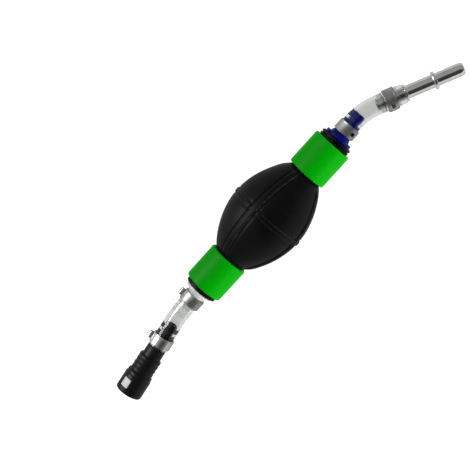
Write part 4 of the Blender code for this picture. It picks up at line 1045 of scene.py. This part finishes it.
# %% Assign the materials
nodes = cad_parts
valve_poppets = [nodes[f"{side}_valve_poppet"] for side in ("inlet", "outlet")]
hard_parts = [nodes[f"{side}_valve_{part}"] for side in ("inlet", "outlet") for part in ("seat", "cage")]
finishes = (
    (bulb_rubber, [bulb]),
    (green_plastic, sleeves.values()),
    (blue_nylon, [caps["outlet"]]),
    (white_nylon, [caps["inlet"]]),
    (clear_hose, hoses.values()),
    (band_straight, [clamps["inlet_cap_clamp"], clamps["outlet_cap_clamp"]]),
    (band_outlet, [clamps["spigot_clamp"]]),
    (band_coupler, [clamps["coupler_clamp"]]),
    (polished_steel, [spigot]),
    (black_nylon, [coupler, nose]),
    (spring_steel, springs.values()),
    (grey_latch, [nodes["coupler_latch"]]),
    (seal_rubber, [nodes["coupler_outer_o_ring"], nodes["coupler_inner_o_ring"], *valve_poppets]),
    (valve_acetal, [nodes["coupler_spacer"], nodes["coupler_bush"], *hard_parts]),
)
for material, pieces in finishes:
    for piece in pieces:
        if not piece.material_slots:
            piece.data.materials.append(material)
        for slot in piece.material_slots:
            slot.material = material
print("finishes:", len(finishes), "pieces:", sum(len(pieces) for _, pieces in finishes))

# %% [markdown]
# ## Floor, light and camera
# The pump lies on a plain floor. It looks evenly white because it adds a glow of its own for camera rays,
# and less of it where it is seen in a reflection or through a hose. The light comes from large soft lamps
# and a pale sky, as in a small photo tent. Two of the lamps only light dull surfaces and two only show as
# reflections.

# %% Floor
FLOOR_HALF = 3.0
floor_mesh = bpy.data.meshes.new("floor")
floor_mesh.from_pydata([(x, y, 0) for x, y in (FLOOR_HALF * square).tolist()], [], [(0, 1, 2, 3)])
floor = stand("floor", floor_mesh)
floor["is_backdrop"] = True
floor_paint, tree, shader, where = new_material("floor_paint")
ray = tree.nodes.new("ShaderNodeLightPath").outputs
glow = 0.0
for kind, strength in (("Is Camera Ray", 0.95), ("Is Glossy Ray", 0.46), ("Is Transmission Ray", 0.12)):
    glow = scaled(tree, ray[kind], strength, glow)
feed(tree, shader, {
    "Base Color": (0.31, 0.31, 0.31, 1), "Roughness": 0.9, "Emission Color": (1, 1, 1, 1),
    "Emission Strength": glow})
floor_mesh.materials.append(floor_paint)

# %% Sky
SKY_WALL, SKY_TOP = 0.42, 0.05
WALL_ENDS, TOP_STARTS = 0.76, 0.92
TENT_TOP = (0.0, -0.42, 0.9)
world = bpy.data.worlds.new("photo_tent")
bpy.context.scene.world = world
world.use_nodes = True
tree = world.node_tree
ray = tree.nodes.new("ShaderNodeLightPath").outputs
heading = tree.nodes.new("ShaderNodeTexCoord").outputs["Generated"]
heights = {0: heading, 1: unit(TENT_TOP)}
upward = add_node(tree, "ShaderNodeVectorMath", heights, operation="DOT_PRODUCT").outputs["Value"]
tent = mapped(tree, upward, WALL_ENDS, TOP_STARTS, SKY_WALL, SKY_TOP, interpolation_type="SMOOTHSTEP")
feed(tree, tree.nodes["Background"], {
    "Color": (1, 1, 1, 1), "Strength": mapped(tree, ray["Is Camera Ray"], 0.0, 1.0, tent, 1.0)})


# %% Lamps
def soft_lamp(name, position, width, height, radiance, diffuse=True, glossy=True):
    """A rectangular area lamp that looks at the bulb's middle. Its power is pi * area * radiance. It can be
    left out of dull shading or of reflections, and it never shows through the clear hoses."""
    data = bpy.data.lights.new(name, "AREA")
    data.shape = "RECTANGLE"
    data.size, data.size_y = width, height
    data.energy = np.pi * width * height * radiance
    lamp = stand(name, data)
    away = unit(np.subtract(position, centre))
    lamp.matrix_world = matrix_of(frame_along(position, away, np.cross((0, 0, 1), away)))
    lamp.visible_diffuse, lamp.visible_glossy, lamp.visible_transmission = diffuse, glossy, False


soft_lamp("key_lamp", (0.1, -1.25, 0.42), 2.4, 0.8, 0.5, diffuse=False)
soft_lamp("side_lamp", (0.2, -1.12, 0.55), 1.4, 0.8, 4.8, glossy=False)
soft_lamp("fill_lamp", (0.2, 1.12, 0.55), 1.4, 0.8, 1.6, glossy=False)
soft_lamp("rim_lamp", (-0.47, 1.1, 0.6), 0.6, 0.6, 13.0, diffuse=False)

# %% [markdown]
# ## The camera
# The photo was taken from almost straight above, a little towards the outlet. The camera's place, the way
# back from its picture and the way to its right are written out, and the lens follows from the focal length
# in pixels.

# %% Camera
CAMERA_AT = np.array([0.1026, 0.0958, 0.8643])
CAMERA_BACK = np.array([0.15213, 0.09997, 0.98329])
CAMERA_RIGHT = np.array([0.66427, -0.74701, -0.02683])
FOCAL_PIXELS = 1212.8
IMAGE_PIXELS = 470
SENSOR_WIDTH = 36.0
camera_data = bpy.data.cameras.new("camera")
camera_data.sensor_width = SENSOR_WIDTH
camera_data.lens = FOCAL_PIXELS * SENSOR_WIDTH / IMAGE_PIXELS
camera = stand("camera", camera_data)
camera.matrix_world = matrix_of(frame_along(CAMERA_AT, CAMERA_BACK, CAMERA_RIGHT))
bpy.context.scene.camera = camera
bpy.context.scene.view_settings.view_transform = "Standard"
print("lens, mm:", round(camera_data.lens, 2))

# %% [markdown]
# ## The boxes at the end
# Both boxes, of the CAD model and of the finer model, are printed at the end. The finer model has to
# stay inside the CAD model's box.

# %% Finish
visual_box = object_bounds()


def plain(box):
    """A box as lists of plain numbers."""
    return [[float(number) for number in corner] for corner in box]


for name, box in (("CAD", cad_box), ("visual", visual_box)):
    print(name, "box, mm:", np.round(np.array(plain(box)) / MM, 2).tolist())
